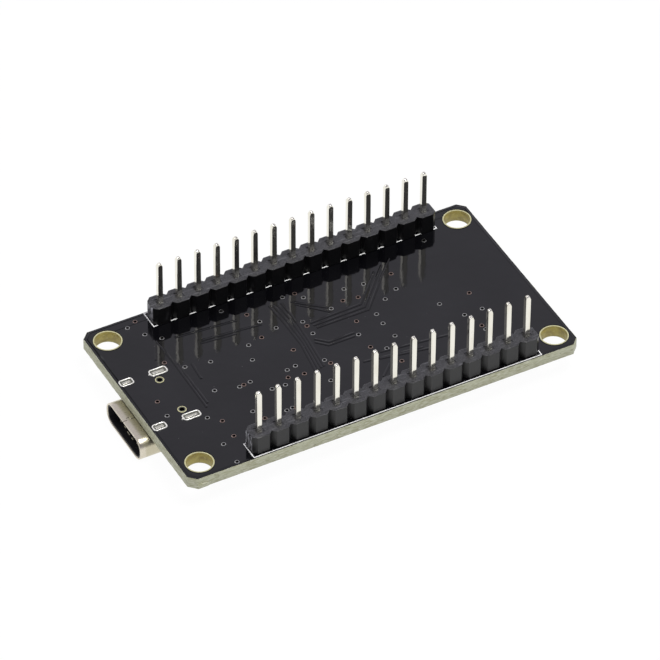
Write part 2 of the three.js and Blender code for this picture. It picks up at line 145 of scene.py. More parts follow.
# Plated holes, by the part of the board that they are in
VIAS = [
    # By the receptacle
    (-20.4, 12.8), (-19.1, 13.4), (-19.1, 10.8), (-17.6, 9.3), (-19.3, 5.3), (-17.5, 3.5),
    (-14.4, 2.9), (-23.1, -0.4), (-23.2, -3.1), (-19.2, -5.6), (-17.9, -6.9), (-16.3, -1.8),
    (-19.6, -10.5), (-17.9, -9.8), (-19.6, -13.9),
    # By the serial chip
    (-13.4, -2.6), (-12.8, -2.5), (-11.9, -2.4), (-14.0, -7.1), (-13.3, -8.8), (-10.2, -4.7),
    (-8.5, -4.8), (-7.6, -3.8), (-7.1, -2.6), (-5.9, -2.4), (-5.6, -4.1), (-10.4, -8.8),
    (-9.6, -8.7), (-6.8, 8.3), (-6.0, 6.5), (-4.8, 4.6), (-7.1, 3.9), (-9.1, 3.4),
    (-9.9, 0.9), (-4.8, 0.2), (-9.2, 10.3),
    # Under the module
    (-1.6, 9.1), (0.0, 9.0), (0.6, 7.9), (-1.5, 4.1), (-1.4, 3.2), (-1.4, 1.7), (2.6, 4.6),
    (4.5, 5.2), (5.6, 7.0), (8.1, 6.7), (6.4, 4.9), (9.1, 3.1), (11.1, 4.1), (11.9, 6.8),
    (6.9, 1.2), (6.8, -0.6), (4.2, 1.2), (3.3, -1.0), (7.0, -3.2), (3.5, -3.6), (5.1, -4.7),
    (-2.4, -3.1), (-2.0, -3.9), (-3.4, -6.6), (-2.7, -9.3), (5.6, -7.5),
    # By the antenna
    (18.3, 10.3), (14.4, -0.7), (18.5, -0.6), (18.5, -3.8), (16.1, -3.8), (17.0, -6.4), (17.1, -7.2),
]
COPPERY_EVERY = 3

# Traces and printed lines, by half their width
TRACE_HALF = 0.06
TRACE_SLOPE = 0.1
LONE_TRACE_HEIGHT = 0.032
PRINT_HALF = 0.06
PRINT_HEIGHT = 0.014

# Traces of the solder side that stand out through the mask
# A bundle has its height, its count and its first and last trace
LONE_TRACES = [
    [(-18.4, 9.2), (-18.3, 4.5), (-18.4, -3.9)], [(-18.0, 4.5), (-18.0, -3.3)],
    [(-16.5, 3.7), (-16.7, 0.8)], [(-18.5, 9.4), (-20.0, 6.2)], [(-1.1, 8.0), (2.4, 4.9)],
    [(-0.9, 7.4), (2.2, 4.2)], [(-1.7, 0.75), (-0.4, -0.5), (3.0, -0.45)],
    [(-1.9, 0.25), (-0.7, -1.0), (2.8, -1.0)], [(4.1, -4.9), (12.7, -6.0)], [(1.5, -5.5), (9.0, -6.5)],
    [(3.5, -5.9), (10.0, -7.1)], [(2.4, -8.9), (4.2, -7.2)], [(-13.6, 6.8), (-6.0, 6.0)],
    [(-16.2, 8.7), (-8.3, 8.0)], [(-14.0, 6.4), (-9.4, 5.9)],
]
TRACE_BUNDLES = [
    (0.02, 4, [(-3.7, 8.5), (-3.5, 5.0), (-3.5, 0.7), (-4.2, -4.3)],
     [(-2.2, 8.3), (-2.1, 4.8), (-2.4, 1.0), (-2.9, -4.0)]),
    (0.032, 3, [(-0.8, 3.5), (6.1, 3.7), (10.3, 8.1)],
     [(-0.5, 2.4), (6.5, 2.4), (13.0, 9.4)]),
]

# Brightness of the room by the sine of the elevation, and its cast where it is darker than white
SKY_CAST = (0.99, 0.97, 1.08)
BACK_WALL = ((0.0, 1.0), (0.12, 1.0), (0.4, 0.9), (0.60, 0.72), (0.72, 0.62), (1.0, 0.5))
FRONT_WALL = ((0.0, 1.0), (0.06, 0.8), (0.2, 0.25), (0.7, 0.16), (1.0, 0.35))
# How far back, from -1 to 1, the back wall ends and the front wall is all there is
BACK_WALL_END, FRONT_WALL_START = 0.25, -0.35
FLOOR_HALF = 3000
FLOOR_GLOW = 0.97

# Azimuths are 0 in front of the board, and 90 on its +X side
# Lights by azimuth, elevation, distance in metres, width, height and power
# The glossy mask mirrors the pins' front faces in front_strip, and their sides in side_strip
LIGHTS = {
    "key": (15, 72, 1.3, 0.5, 0.4, 14.0),
    "front_strip": (28, 42, 1.2, 0.16, 0.5, 0.125),
    "side_strip": (208, 42, 1.2, 0.16, 0.5, 0.44),
}

CAMERA_TARGET = Vector((0.674, 1.283, 0.0))
CAMERA_AZIMUTH = -28.205
CAMERA_ELEVATION = 41.79
CAMERA_DISTANCE = 725.8
CAMERA_ROLL = 0.252
CAMERA_LENS = 333.88


# ---- Finishes: one node material each ----

# Places of the colours in a Mix node's sockets, which have no names of their own
MIX_UNDER, MIX_OVER, MIX_RESULT = 6, 7, 2


def dial(node, settings):
    """Sets a node's sockets by their names."""
    for socket, value in settings.items():
        node.inputs[socket].default_value = value
    return node


class Tree:
    """Makes and links the nodes of a material or a world."""

    def __init__(self, owner):
        owner.use_nodes = True
        self.tree = owner.node_tree

    def node(self, kind, settings):
        return dial(self.tree.nodes.new(kind), settings)

    def link(self, source, target):
        self.tree.links.new(source, target)

    def mix(self, share):
        """A mix of two colours, by share."""
        mixed = self.node("ShaderNodeMix", {})
        mixed.data_type = "RGBA"
        self.link(share, mixed.inputs["Factor"])
        return mixed


class Finish(Tree):
    """A Principled material that noise tints, dulls and roughens. Sizes and heights are in millimetres."""

    def __init__(self, name, color, roughness, metallic=0.0, ior=1.5, coat=0.0):
        self.material = bpy.data.materials.new(name)
        super().__init__(self.material)
        self.place = self.node("ShaderNodeTexCoord", {}).outputs["Object"]
        self.shader = dial(self.tree.nodes["Principled BSDF"], {
            "Base Color": (*color, 1.0), "Roughness": roughness, "Metallic": metallic, "IOR": ior,
            "Coat Weight": coat, "Coat Roughness": 0.08,
        })

    def insert(self, name, through, result):
        """Puts a node between the shader's socket and what feeds that now."""
        socket = self.shader.inputs[name]
        if socket.is_linked:
            self.link(socket.links[0].from_socket, through)
        self.link(result, socket)

    def ranged(self, source, low, high, to_low=0.0, to_high=1.0):
        settings = {"From Min": low, "From Max": high, "To Min": to_low, "To Max": to_high}
        made = self.node("ShaderNodeMapRange", settings)
        self.link(source, made.inputs["Value"])
        return made.outputs["Result"]

    def noise(self, size, low=0.0, high=1.0, detail=3.0, stretch=(1, 1, 1), distortion=0.0):
        """Noise of about that grain size, turned so that low and high of it become 0 and 1."""
        mapping = self.node("ShaderNodeMapping", {"Scale": stretch})
        settings = {"Scale": 1 / (size * MM), "Detail": detail, "Distortion": distortion}
        texture = self.node("ShaderNodeTexNoise", settings)
        self.link(self.place, mapping.inputs["Vector"])
        self.link(mapping.outputs["Vector"], texture.inputs["Vector"])
        return self.ranged(texture.outputs["Fac"], low, high)

    def across(self, axis, start, end):
        """Rises from 0 at start to 1 at end along one axis."""
        split = self.node("ShaderNodeSeparateXYZ", {})
        self.link(self.place, split.inputs["Vector"])
        return self.ranged(split.outputs[axis], start * MM, end * MM)

    def specks(self, size, cover):
        """Round specks of about that size. cover is how far a speck reaches, from 0 to 1."""
        texture = self.node("ShaderNodeTexVoronoi", {"Scale": 1 / (size * MM)})
        self.link(self.place, texture.inputs["Vector"])
        return self.ranged(texture.outputs["Distance"], cover, cover * 0.6)

    def paint(self, color, share):
        """Paints that colour where share is 1."""
        mixed = self.mix(share)
        mixed.inputs[MIX_UNDER].default_value = self.shader.inputs["Base Color"].default_value
        mixed.inputs[MIX_OVER].default_value = (*color, 1.0)
        self.insert("Base Color", mixed.inputs[MIX_UNDER], mixed.outputs[MIX_RESULT])

    # These three take noise()'s own arguments after theirs

    def tint(self, color, *grain, **how):
        self.paint(color, self.noise(*grain, **how))

    def dull(self, low, high, *grain, **how):
        """Roughness from low to high as the noise goes from 0 to 1."""
        share = self.ranged(self.noise(*grain, **how), 0.0, 1.0, low, high)
        self.link(share, self.shader.inputs["Roughness"])

    def bump(self, height, *grain, **how):
        made = self.node("ShaderNodeBump", {"Distance": height * MM})
        self.link(self.noise(*grain, **how), made.inputs["Height"])
        self.insert("Normal", made.inputs["Normal"], made.outputs["Normal"])


def tin_finish(name, color, dark):
    look = Finish(name, color, 0.22, metallic=1.0)
    look.tint(dark, 0.3, 0.5, 0.8)
    look.dull(0.16, 0.42, 0.15)
    look.bump(0.008, 0.2, detail=2.0)
    return look


def plastic_finish(name, color, light):
    look = Finish(name, color, 0.45)
    look.tint(light, 0.12, 0.5, 0.75)
    look.dull(0.36, 0.58, 0.4)
    look.bump(0.006, 0.08)
    return look


def steel_finish(name, color, rough):
    look = Finish(name, color, rough, metallic=1.0)
    look.tint(tuple(channel * 0.92 for channel in color), 0.7, 0.45, 0.8)
    look.dull(rough * 0.7, rough * 1.5, 0.35, stretch=(0.2, 3, 1))
    look.bump(0.001, 0.12, stretch=(0.15, 3, 1))
    look.bump(0.01, 2.5, detail=1.0)
    return look


MASK = Finish("mask_gloss_black", (0.0012, 0.0012, 0.0018), 0.07, ior=1.48)
MASK.tint((0.0035, 0.0035, 0.0045), 9.0, 0.35, 0.7, detail=1.0)
MASK.paint((0.05, 0.05, 0.05), MASK.specks(1.9, 0.035))
MASK.dull(0.05, 0.11, 2.2, 0.4, 0.8)
MASK.bump(0.011, 1.3, detail=2.0)
MASK.bump(0.0003, 0.25, detail=2.0)

LAMINATE = Finish("laminate_glass_fibre", (0.41, 0.42, 0.30), 0.55)
LAMINATE.tint((0.28, 0.28, 0.17), 0.26, 0.42, 0.66, detail=4.0, stretch=(0.3, 0.3, 1.6))
LAMINATE.tint((0.56, 0.56, 0.47), 0.2, 0.52, 0.72, detail=3.0, stretch=(0.25, 0.25, 2.4))
LAMINATE.tint((0.15, 0.14, 0.08), 0.2, 0.62, 0.74, detail=3.0, stretch=(0.4, 0.4, 1.6))
LAMINATE.dull(0.45, 0.75, 0.5)
LAMINATE.bump(0.02, 0.3, stretch=(0.4, 0.4, 3.0))
LAMINATE.bump(0.03, 0.14, detail=4.0)

DRILLED = Finish("laminate_drilled", (0.38, 0.32, 0.075), 0.42)
DRILLED.tint((0.24, 0.185, 0.045), 0.9, 0.4, 0.7, stretch=(1, 1, 1.5))
DRILLED.tint((0.47, 0.42, 0.16), 0.4, 0.55, 0.8)
DRILLED.dull(0.35, 0.6, 0.3)
DRILLED.bump(0.02, 0.14, stretch=(1, 1, 0.3))

RING = Finish("laminate_bare_ring", (0.50, 0.48, 0.27), 0.5)
RING.tint((0.38, 0.36, 0.20), 0.3, 0.45, 0.7)
RING.bump(0.004, 0.1)

SILK = Finish("silk_ink", (0.80, 0.80, 0.78), 0.55)
SILK.tint((0.62, 0.62, 0.60), 0.25, 0.5, 0.75)
SILK.tint((0.30, 0.30, 0.30), 0.09, 0.68, 0.78)
SILK.bump(0.006, 0.08)

SOLDER = Finish("solder_satin", (0.68, 0.66, 0.57), 0.25, metallic=1.0)
SOLDER.tint((0.42, 0.43, 0.42), 0.16, 0.45, 0.7, distortion=1.5)
SOLDER.tint((0.2, 0.2, 0.2), 0.1, 0.66, 0.76)
SOLDER.dull(0.14, 0.5, 0.12)
SOLDER.bump(0.05, 0.22, detail=3.0, distortion=1.0)

# Painted highlight: solder made near white for the shine along the slots' rims
HIGHLIGHT_SOLDER = Finish("solder_painted_highlight", (0.93, 0.92, 0.85), 0.3, metallic=0.7)
HIGHLIGHT_SOLDER.tint((0.70, 0.70, 0.67), 0.2, 0.55, 0.75, distortion=1.0)
HIGHLIGHT_SOLDER.dull(0.2, 0.45, 0.15)
HIGHLIGHT_SOLDER.bump(0.03, 0.25, detail=2.0)

# Painted shade: solder made dark for the shade inside the slots and at the peg holes' edges
SHADED_SOLDER = Finish("solder_painted_shade", (0.20, 0.205, 0.17), 0.35, metallic=0.85)
SHADED_SOLDER.tint((0.07, 0.07, 0.055), 0.2, 0.42, 0.66, distortion=2.0)
SHADED_SOLDER.tint((0.42, 0.42, 0.38), 0.14, 0.62, 0.7)
SHADED_SOLDER.dull(0.2, 0.55, 0.15)
SHADED_SOLDER.bump(0.09, 0.22, detail=3.0, distortion=1.0)

# Painted shade: the strips' sides are far darker than black nylon, a shaded copy of the finish of their
# upward faces
HEADER = Finish("header_nylon", (0.0015, 0.0015, 0.0018), 0.34)
HEADER.tint((0.004, 0.004, 0.005), 0.09, 0.5, 0.72, detail=4.0)
HEADER.tint((0.03, 0.03, 0.033), 0.5, 0.66, 0.8, stretch=(1, 1, 0.3))
HEADER.dull(0.28, 0.42, 0.5)
HEADER.bump(0.005, 0.07, detail=3.0)
HEADER.bump(0.012, 0.9, detail=2.0)

# Painted light: the strips' upward faces and pin collars are lighter than their sides, besides their real
# scratches
HEADER_TOP_LIT_AND_SCRATCHED = Finish("header_top_scratches_and_painted_light", (0.016, 0.016, 0.018), 0.42)
HEADER_TOP_LIT_AND_SCRATCHED.tint((0.055, 0.055, 0.06), 0.12, 0.46, 0.62, detail=4.0)
HEADER_TOP_LIT_AND_SCRATCHED.tint((0.004, 0.004, 0.005), 0.17, 0.56, 0.66, detail=4.0)
HEADER_TOP_LIT_AND_SCRATCHED.tint((0.12, 0.12, 0.13), 0.3, 0.60, 0.72, stretch=(0.2, 2.5, 1))
HEADER_TOP_LIT_AND_SCRATCHED.dull(0.34, 0.55, 0.5)
HEADER_TOP_LIT_AND_SCRATCHED.bump(0.022, 0.13, detail=3.0)
HEADER_TOP_LIT_AND_SCRATCHED.bump(0.012, 0.3, stretch=(0.2, 2.5, 1))

SNAPPED = Finish("header_snapped_end", (0.08, 0.08, 0.085), 0.6)
SNAPPED.tint((0.40, 0.40, 0.43), 0.12, 0.42, 0.58, stretch=(1, 1, 0.2))
SNAPPED.dull(0.5, 0.75, 0.2)
SNAPPED.bump(0.05, 0.12, stretch=(1, 1, 0.3))

PIN = Finish("pin_plating", (0.86, 0.84, 0.76), 0.24, metallic=1.0)
PIN.tint((0.78, 0.75, 0.65), 0.8, 0.45, 0.75, stretch=(1, 1, 0.25))
PIN.tint((0.70, 0.66, 0.55), 0.25, 0.66, 0.8, stretch=(2, 2, 0.3))
PIN.dull(0.07, 0.17, 0.4, stretch=(2, 2, 0.3))
PIN.bump(0.0012, 0.2, stretch=(2, 2, 0.1))
PIN.bump(0.012, 0.7, detail=1.0, stretch=(1.2, 1.2, 0.5))

SHELL = Finish("usb_nickel", (0.68, 0.63, 0.52), 0.2, metallic=1.0)
SHELL.tint((0.62, 0.57, 0.46), 1.2, 0.45, 0.8)
# Painted shade: the sheet is darker from 0.6 to 0.85 mm behind the mouth all the way back, and only the lip
# at the mouth keeps the lighter colour
SHELL.paint((0.55, 0.51, 0.38), SHELL.across("X", SHELL_LOW.x + 0.60, SHELL_LOW.x + 0.85))
SHELL.tint((0.80, 0.77, 0.70), 0.25, 0.66, 0.8, stretch=(0.3, 2, 2))
SHELL.dull(0.2, 0.38, 0.6, stretch=(0.4, 2, 2))
SHELL.bump(0.006, 1.1, detail=1.0)
SHELL.bump(0.001, 0.1, stretch=(0.2, 2, 2))

CHIP = Finish("chip_epoxy", (0.028, 0.028, 0.031), 0.5)
CHIP.tint((0.06, 0.06, 0.064), 0.06, 0.52, 0.7, detail=4.0)
CHIP.dull(0.42, 0.62, 0.6)
CHIP.bump(0.008, 0.06)

CERAMIC = Finish("capacitor_ceramic", (0.34, 0.22, 0.12), 0.5)
CERAMIC.tint((0.42, 0.29, 0.17), 0.12, 0.45, 0.75)
CERAMIC.dull(0.4, 0.6, 0.3)
CERAMIC.bump(0.005, 0.06)

LENS = Finish("led_lens", (0.82, 0.80, 0.66), 0.25, coat=0.4)
LENS.shader.inputs["Subsurface Weight"].default_value = 0.3
LENS.shader.inputs["Subsurface Radius"].default_value = (0.0006, 0.0005, 0.0003)
LENS.tint((0.78, 0.72, 0.45), 0.4, 0.4, 0.8)
LENS.dull(0.18, 0.32, 0.3)
LENS.bump(0.003, 0.15)

TIN = tin_finish("tin_plating", (0.50, 0.50, 0.48), (0.24, 0.25, 0.23))
COPPER = tin_finish("copper_ring", (0.39, 0.29, 0.25), (0.18, 0.13, 0.11))
GOLD = tin_finish("gold_plating", (0.88, 0.66, 0.30), (0.72, 0.50, 0.20))
# Painted shade: plated hole walls made far darker than tin, for the shade inside the holes
SHADED_BARREL = tin_finish("hole_barrel_painted_shade", (0.10, 0.09, 0.08), (0.05, 0.05, 0.05))
TONGUE = plastic_finish("tongue_nylon", (0.010, 0.010, 0.011), (0.022, 0.022, 0.024))
BUTTON_NYLON = plastic_finish("button_nylon", (0.016, 0.016, 0.018), (0.034, 0.034, 0.037))
MODULE_MASK = plastic_finish("module_mask_satin", (0.012, 0.013, 0.015), (0.022, 0.023, 0.026))
LED_BASE = plastic_finish("led_base", (0.72, 0.72, 0.70), (0.82, 0.82, 0.80))
SHIELD = steel_finish("shield_tinned_steel", (0.64, 0.65, 0.66), 0.3)
STEEL = steel_finish("stamped_steel", (0.66, 0.66, 0.67), 0.28)
RESISTOR = plastic_finish("resistor_glaze", (0.010, 0.010, 0.012), (0.02, 0.02, 0.022))


# ---- Outlines: lists of (x, y), anticlockwise ----


def circle(x, y, radius, sides=24):
    turns = [2 * math.pi * index / sides for index in range(sides)]
    return [(x + radius * math.cos(turn), y + radius * math.sin(turn)) for turn in turns]


def rounded(x, y, half_x, half_y, radius, steps=5):
    """A rectangle about (x, y) with rounded corners, or with chamfers where steps is 1."""
    points = []
    for quarter, (sign_x, sign_y) in enumerate(((1, 1), (-1, 1), (-1, -1), (1, -1))):
        corner_x = x + sign_x * (half_x - radius)
        corner_y = y + sign_y * (half_y - radius)
        for step in range(steps + 1):
            turn = math.pi / 2 * (quarter + step / steps)
            points.append((corner_x + radius * math.cos(turn), corner_y + radius * math.sin(turn)))
    return points


def stadium(x, y, length, width):
    return rounded(x, y, length / 2, width / 2, width / 2 - 1e-4, 6)


def worn(outline, spacing, depth, rng):
    """The outline with a point about every spacing, each moved by up to depth."""
    points = []
    for index, start in enumerate(outline):
        end = outline[(index + 1) % len(outline)]
        count = max(1, round(math.dist(start, end) / spacing))
        for step in range(count):
            x, y = Vector(start).lerp(Vector(end), step / count)
            points.append((x + rng.uniform(-depth, depth), y + rng.uniform(-depth, depth)))
    return points


# ---- Mesh code: each maker gives a bmesh in millimetres ----


def painted(mesh, paint):
    for face in mesh.faces:
        face.material_index = paint
    return mesh


def soften(mesh, width, segments=2, angle=30):
    """Rounds every edge sharper than that angle."""
    sharp = [e for e in mesh.edges if e.is_manifold and math.degrees(e.calc_face_angle(0)) > angle]
    bmesh.ops.bevel(
        mesh, geom=sharp, offset=width, segments=segments, profile=0.5, affect="EDGES", clamp_overlap=True
    )


def loft(rings, closed=False):
    """Skins a row of rings of points, and closes the row on itself or caps its ends."""
    mesh = bmesh.new()
    loops = [[mesh.verts.new(point) for point in ring] for ring in rings]
    pairs = list(zip(loops, loops[1:]))
    if closed:
        pairs.append((loops[-1], loops[0]))
    else:
        mesh.faces.new(loops[0][::-1])
        mesh.faces.new(loops[-1])
    for one, other in pairs:
        for index in range(len(one)):
            mesh.faces.new((one[index - 1], one[index], other[index], other[index - 1]))
    mesh.normal_update()
    return mesh


def prism(outline, bottom, top, bevel=0.0, paint=0):
    mesh = loft([[(x, y, z) for x, y in outline] for z in (bottom, top)])
    if bevel:
        soften(mesh, bevel)
    return painted(mesh, paint)


def block(x0, x1, y0, y1, z0, z1, bevel=0.04, paint=0):
    """A box with rounded edges. Each pair of coordinates may come in either order."""
    (x0, x1), (y0, y1), (z0, z1) = sorted((x0, x1)), sorted((y0, y1)), sorted((z0, z1))
    return prism([(x0, y0), (x1, y0), (x1, y1), (x0, y1)], z0, z1, bevel, paint)


def lathe(profile, x=0.0, y=0.0, sides=20, paint=0):
    """Turns a profile of (radius, z) points, closed or ending on the axis, round a vertical axis."""
    mesh = bmesh.new()
    rings = []
    for radius, z in profile:
        if radius == 0:
            rings.append([mesh.verts.new((x, y, z))] * sides)
        else:
            rings.append([mesh.verts.new((px, py, z)) for px, py in circle(x, y, radius, sides)])
    pairs = list(zip(rings, rings[1:]))
    if profile[0][0] != 0:
        pairs.append((rings[-1], rings[0]))
    for lower, upper in pairs:
        for index in range(sides):
            corners = [lower[index - 1], lower[index], upper[index], upper[index - 1]]
            corners = list(dict.fromkeys(corners))
            if len(corners) > 2:
                mesh.faces.new(corners)
    mesh.normal_update()
    return painted(mesh, paint)


def flat_ring(spot, inner, outer, bottom, top, leans, sides=24, paint=0):
    """A thin ring. leans is how far its inner and its outer wall lean in on the way up."""
    profile = [(inner, bottom), (inner + leans[0], top), (outer - leans[1], top), (outer, bottom)]
    return lathe(profile, *spot, sides, paint)


def ribbon(path, section, closed=False, level=0.0):
    """Leads a section of (offset, height) points along a path of (x, y) points, with mitred corners."""
    points = [Vector(point) for point in path]
    rings = []
    for index, here in enumerate(points):
        into = (here - points[index - 1]).normalized()
        out = (points[(index + 1) % len(points)] - here).normalized()
        if not closed and index == 0:
            into = out
        if not closed and index == len(points) - 1:
            out = into
        along = (into + out).normalized()
        across = Vector((-along.y, along.x)) / max(0.3, along.dot(into))
        rings.append([(*(here + across * offset), level + height) for offset, height in section])
    return loft(rings, closed)


def raised(half, height, slope):
    """The section of a line with sloping sides, for ribbon()."""
    return [(-half - slope, 0), (-half, height), (half, height), (half + slope, 0)]


def plate(outlines, bottom, top, bevel=0.0):
    """Fills the first outline between two heights, less the others, with rounded rims."""
    bottom, top = sorted((bottom, top))
    curve = bpy.data.curves.new("plate", "CURVE")
    curve.dimensions = "2D"
    curve.fill_mode = "BOTH"
    curve.extrude = (top - bottom) / 2 - bevel
    curve.bevel_depth = bevel
    curve.bevel_resolution = 1
    curve.offset = -bevel
    for outline in outlines:
        spline = curve.splines.new("POLY")
        spline.points.add(len(outline) - 1)
        for point, (x, y) in zip(spline.points, outline):
            point.co = (x, y, 0, 1)
        spline.use_cyclic_u = True
    holder = bpy.data.objects.new("plate", curve)
    bpy.context.scene.collection.objects.link(holder)
    bpy.context.view_layer.update()
    seen = bpy.context.evaluated_depsgraph_get()
    filled = bpy.data.meshes.new_from_object(holder.evaluated_get(seen))
    mesh = bmesh.new()
    mesh.from_mesh(filled)
    bmesh.ops.translate(mesh, verts=mesh.verts, vec=(0, 0, (bottom + top) / 2))
    bmesh.ops.remove_doubles(mesh, verts=mesh.verts, dist=1e-4)
    bpy.data.objects.remove(holder)
    bpy.data.curves.remove(curve)
    bpy.data.meshes.remove(filled)
    return mesh


def joined(parts):
    whole = bmesh.new()
    for part in parts:
        data = bpy.data.meshes.new("part")
        part.to_mesh(data)
        part.free()
        whole.from_mesh(data)
        bpy.data.meshes.remove(data)
    return whole


def moved(mesh, matrix):
    bmesh.ops.transform(mesh, matrix=matrix, verts=mesh.verts)
    return mesh


def hung(parts, x=0.0, y=0.0):
    """Joins parts that stand on z = 0, and puts them under the board at (x, y) of the component side."""
    over = Matrix.Translation((0, 0, UNDER)) @ Matrix.Rotation(math.pi, 4, "X")
    return moved(joined(parts), over @ Matrix.Translation((x, y, 0)))


def solid(name, mesh, finishes, body="board", stands_for=(), flat_caps=False, crease=50):
    """Makes the piece: in metres, with its finishes, riding on its body."""
    bmesh.ops.recalc_face_normals(mesh, faces=mesh.faces)
    data = bpy.data.meshes.new(name)
    mesh.to_mesh(data)
    mesh.free()
    data.transform(Matrix.Scale(MM, 4))
    for finish in finishes:
        data.materials.append(finish.material)
    for face in data.polygons:
        face.use_smooth = not (flat_caps and abs(face.normal.z) > 0.999)
    data.set_sharp_from_angle(angle=math.radians(crease))
    piece = bpy.data.objects.new(name, data)
    bpy.context.scene.collection.objects.link(piece)
    if not flat_caps:
        shading = piece.modifiers.new("shading", "WEIGHTED_NORMAL")
        shading.keep_sharp = True
    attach(piece, body)
    if stands_for:
        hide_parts(*stands_for)
    return piece


# ---- Circuit board ----


def board_outline(inset):
    middle = (BOARD_LOW + BOARD_HIGH) / 2
    half = (BOARD_HIGH - BOARD_LOW) / 2
    return rounded(middle.x, middle.y, half.x - inset, half.y - inset, BOARD_CHAMFER, 1)


def board_holes(ring=0.0, land=0.0):
    """Outlines of every hole, the mounting holes widened by ring and the soldered ones by land."""
    holes = [circle(*spot, MOUNT_HOLE_RADIUS + ring, 48) for spot in MOUNT_SPOTS]
    holes += [circle(x, side * ROW_Y, PIN_HOLE_RADIUS + land, 16) for x in PIN_XS for side in SIDES]
    holes += [stadium(x, y, length + 2 * land, SLOT_WIDTH + 2 * land) for x, y, length in SLOTS]
    holes += [circle(*spot, PEG_HOLE_RADIUS + land, 20) for spot in PEG_SPOTS]
    return holes + [circle(*spot, VIA_HOLE_RADIUS, 12) for spot in VIAS]


def paint_walls(mesh):
    """Laminate on caps and edge, bare drilled walls in the mounting holes, and in the others metal painted
    dark as shade.
    """
    for face in mesh.faces:
        x, y, _ = face.calc_center_median()
        from_edge = min(x - BOARD_LOW.x, BOARD_HIGH.x - x, y - BOARD_LOW.y, BOARD_HIGH.y - y)
        if abs(face.normal.z) > 0.7:
            continue
        if any(math.dist((x, y), spot) < MOUNT_HOLE_RADIUS + 0.1 for spot in MOUNT_SPOTS):
            face.material_index = 1
        elif from_edge > 0.5:
            # Painted shade: the dark plated walls
            face.material_index = 2


def circuit_board():
    """The laminate with its holes, and the stub of the tab that held the board in its panel."""
    edge = worn(board_outline(0.0), 0.45, 0.02, random.Random(11))
    core = plate([edge] + board_holes(), UNDER + MASK_DEPTH, TOP - MASK_DEPTH, 0.02)
    paint_walls(core)
    start, end = (BOARD_LOW.x + along for along in TAB_STUB)
    stub = block(start, end, BOARD_LOW.y - 0.12, BOARD_LOW.y + 0.3, UNDER + 0.08, UNDER + 0.7, 0.05)
    solid("board_laminate", joined([core, stub]), [LAMINATE, DRILLED, SHADED_BARREL],
          stands_for=["circuit_board"], flat_caps=True)


def solder_mask():
    """On each side, the mask's border, and a step higher the mask that covers the copper."""
    for label, level, inward in FACES:
        step = inward * COPPER_STEP
        border = plate([board_outline(MASK_INSET)] + board_holes(MOUNT_RING, 0.08),
                       level + inward * MASK_DEPTH, level + step)
        pour = plate([board_outline(POUR_INSET)] + board_holes(MOUNT_RING + 0.1, 0.1), level + step, level)
        ramp = [(0, 0), (POUR_SLOPE, -step), (POUR_SLOPE + 0.1, -step), (POUR_SLOPE + 0.1, 0)]
        rim = ribbon(board_outline(POUR_INSET - POUR_SLOPE), ramp, True, level + step)
        solid(f"mask_{label}", joined([border, pour, rim]), [MASK], flat_caps=True)


def solder_side_traces():
    lone = raised(TRACE_HALF, LONE_TRACE_HEIGHT, TRACE_SLOPE)
    traces = [ribbon(path, lone, level=TOP) for path in LONE_TRACES]
    for height, count, first, last in TRACE_BUNDLES:
        for index in range(count):
            path = [Vector(a).lerp(Vector(b), index / (count - 1)) for a, b in zip(first, last)]
            traces.append(ribbon(path, raised(TRACE_HALF, height, TRACE_SLOPE), level=TOP))
    solid("traces_solder_side", joined(traces), [MASK], flat_caps=True)


def hole_rings():
    """Plated rings round the vias and the peg holes, with painted shade at the peg holes' inner edge, and the
    bare laminate round the mounting holes.
    """
    plated = (0.01, 0.03)
    coppery = VIAS[1::COPPERY_EVERY]
    tinned = [spot for spot in VIAS if spot not in coppery]
    for label, level, _ in FACES:
        size = (VIA_HOLE_RADIUS, VIA_RING_RADIUS, level - 0.02, level + 0.02, plated, 20)
        for name, finish, spots in (("tinned", TIN, tinned), ("coppery", COPPER, coppery)):
            rings = [flat_ring(spot, *size) for spot in spots]
            solid(f"vias_{name}_{label}", joined(rings), [finish])
    pegs = []
    for spot in PEG_SPOTS:
        dark = PEG_HOLE_RADIUS + 0.11
        pegs.append(flat_ring(spot, dark, 0.555, TOP - 0.02, TOP + 0.02, plated, 20))
        # A ring of painted shade round the peg hole's edge
        pegs.append(flat_ring(spot, PEG_HOLE_RADIUS, dark + 0.03, TOP - 0.04, TOP + 0.003, (0, 0), 24, 1))
    solid("peg_hole_rings", joined(pegs), [RING, SHADED_SOLDER])
    mounts = []
    for spot in MOUNT_SPOTS:
        for level in (TOP - 0.02, UNDER + 0.005):
            radii = (MOUNT_HOLE_RADIUS, MOUNT_HOLE_RADIUS + MOUNT_RING)
            mounts.append(flat_ring(spot, *radii, level - 0.03, level + 0.014, (0.01, 0), 48))
    solid("mount_hole_rings", joined(mounts), [RING])


def header_silk():
    """A printed box round each header strip, on both sides of the board."""
    near, far = abs(STRIP_HIGH.y) + 0.15, abs(STRIP_LOW.y) + 0.23
    start, end = STRIP_LOW.x - 0.12, STRIP_HIGH.x + 0.03
    for label, level, inward in FACES:
        section = raised(PRINT_HALF, -inward * PRINT_HEIGHT, 0.015)
        boxes = []
        for side in SIDES:
            low, high = sorted((side * near, side * far))
            boxes.append(ribbon([(start, low), (end, low), (end, high), (start, high)], section, True, level))
        solid(f"silk_headers_{label}", joined(boxes), [SILK], flat_caps=True)


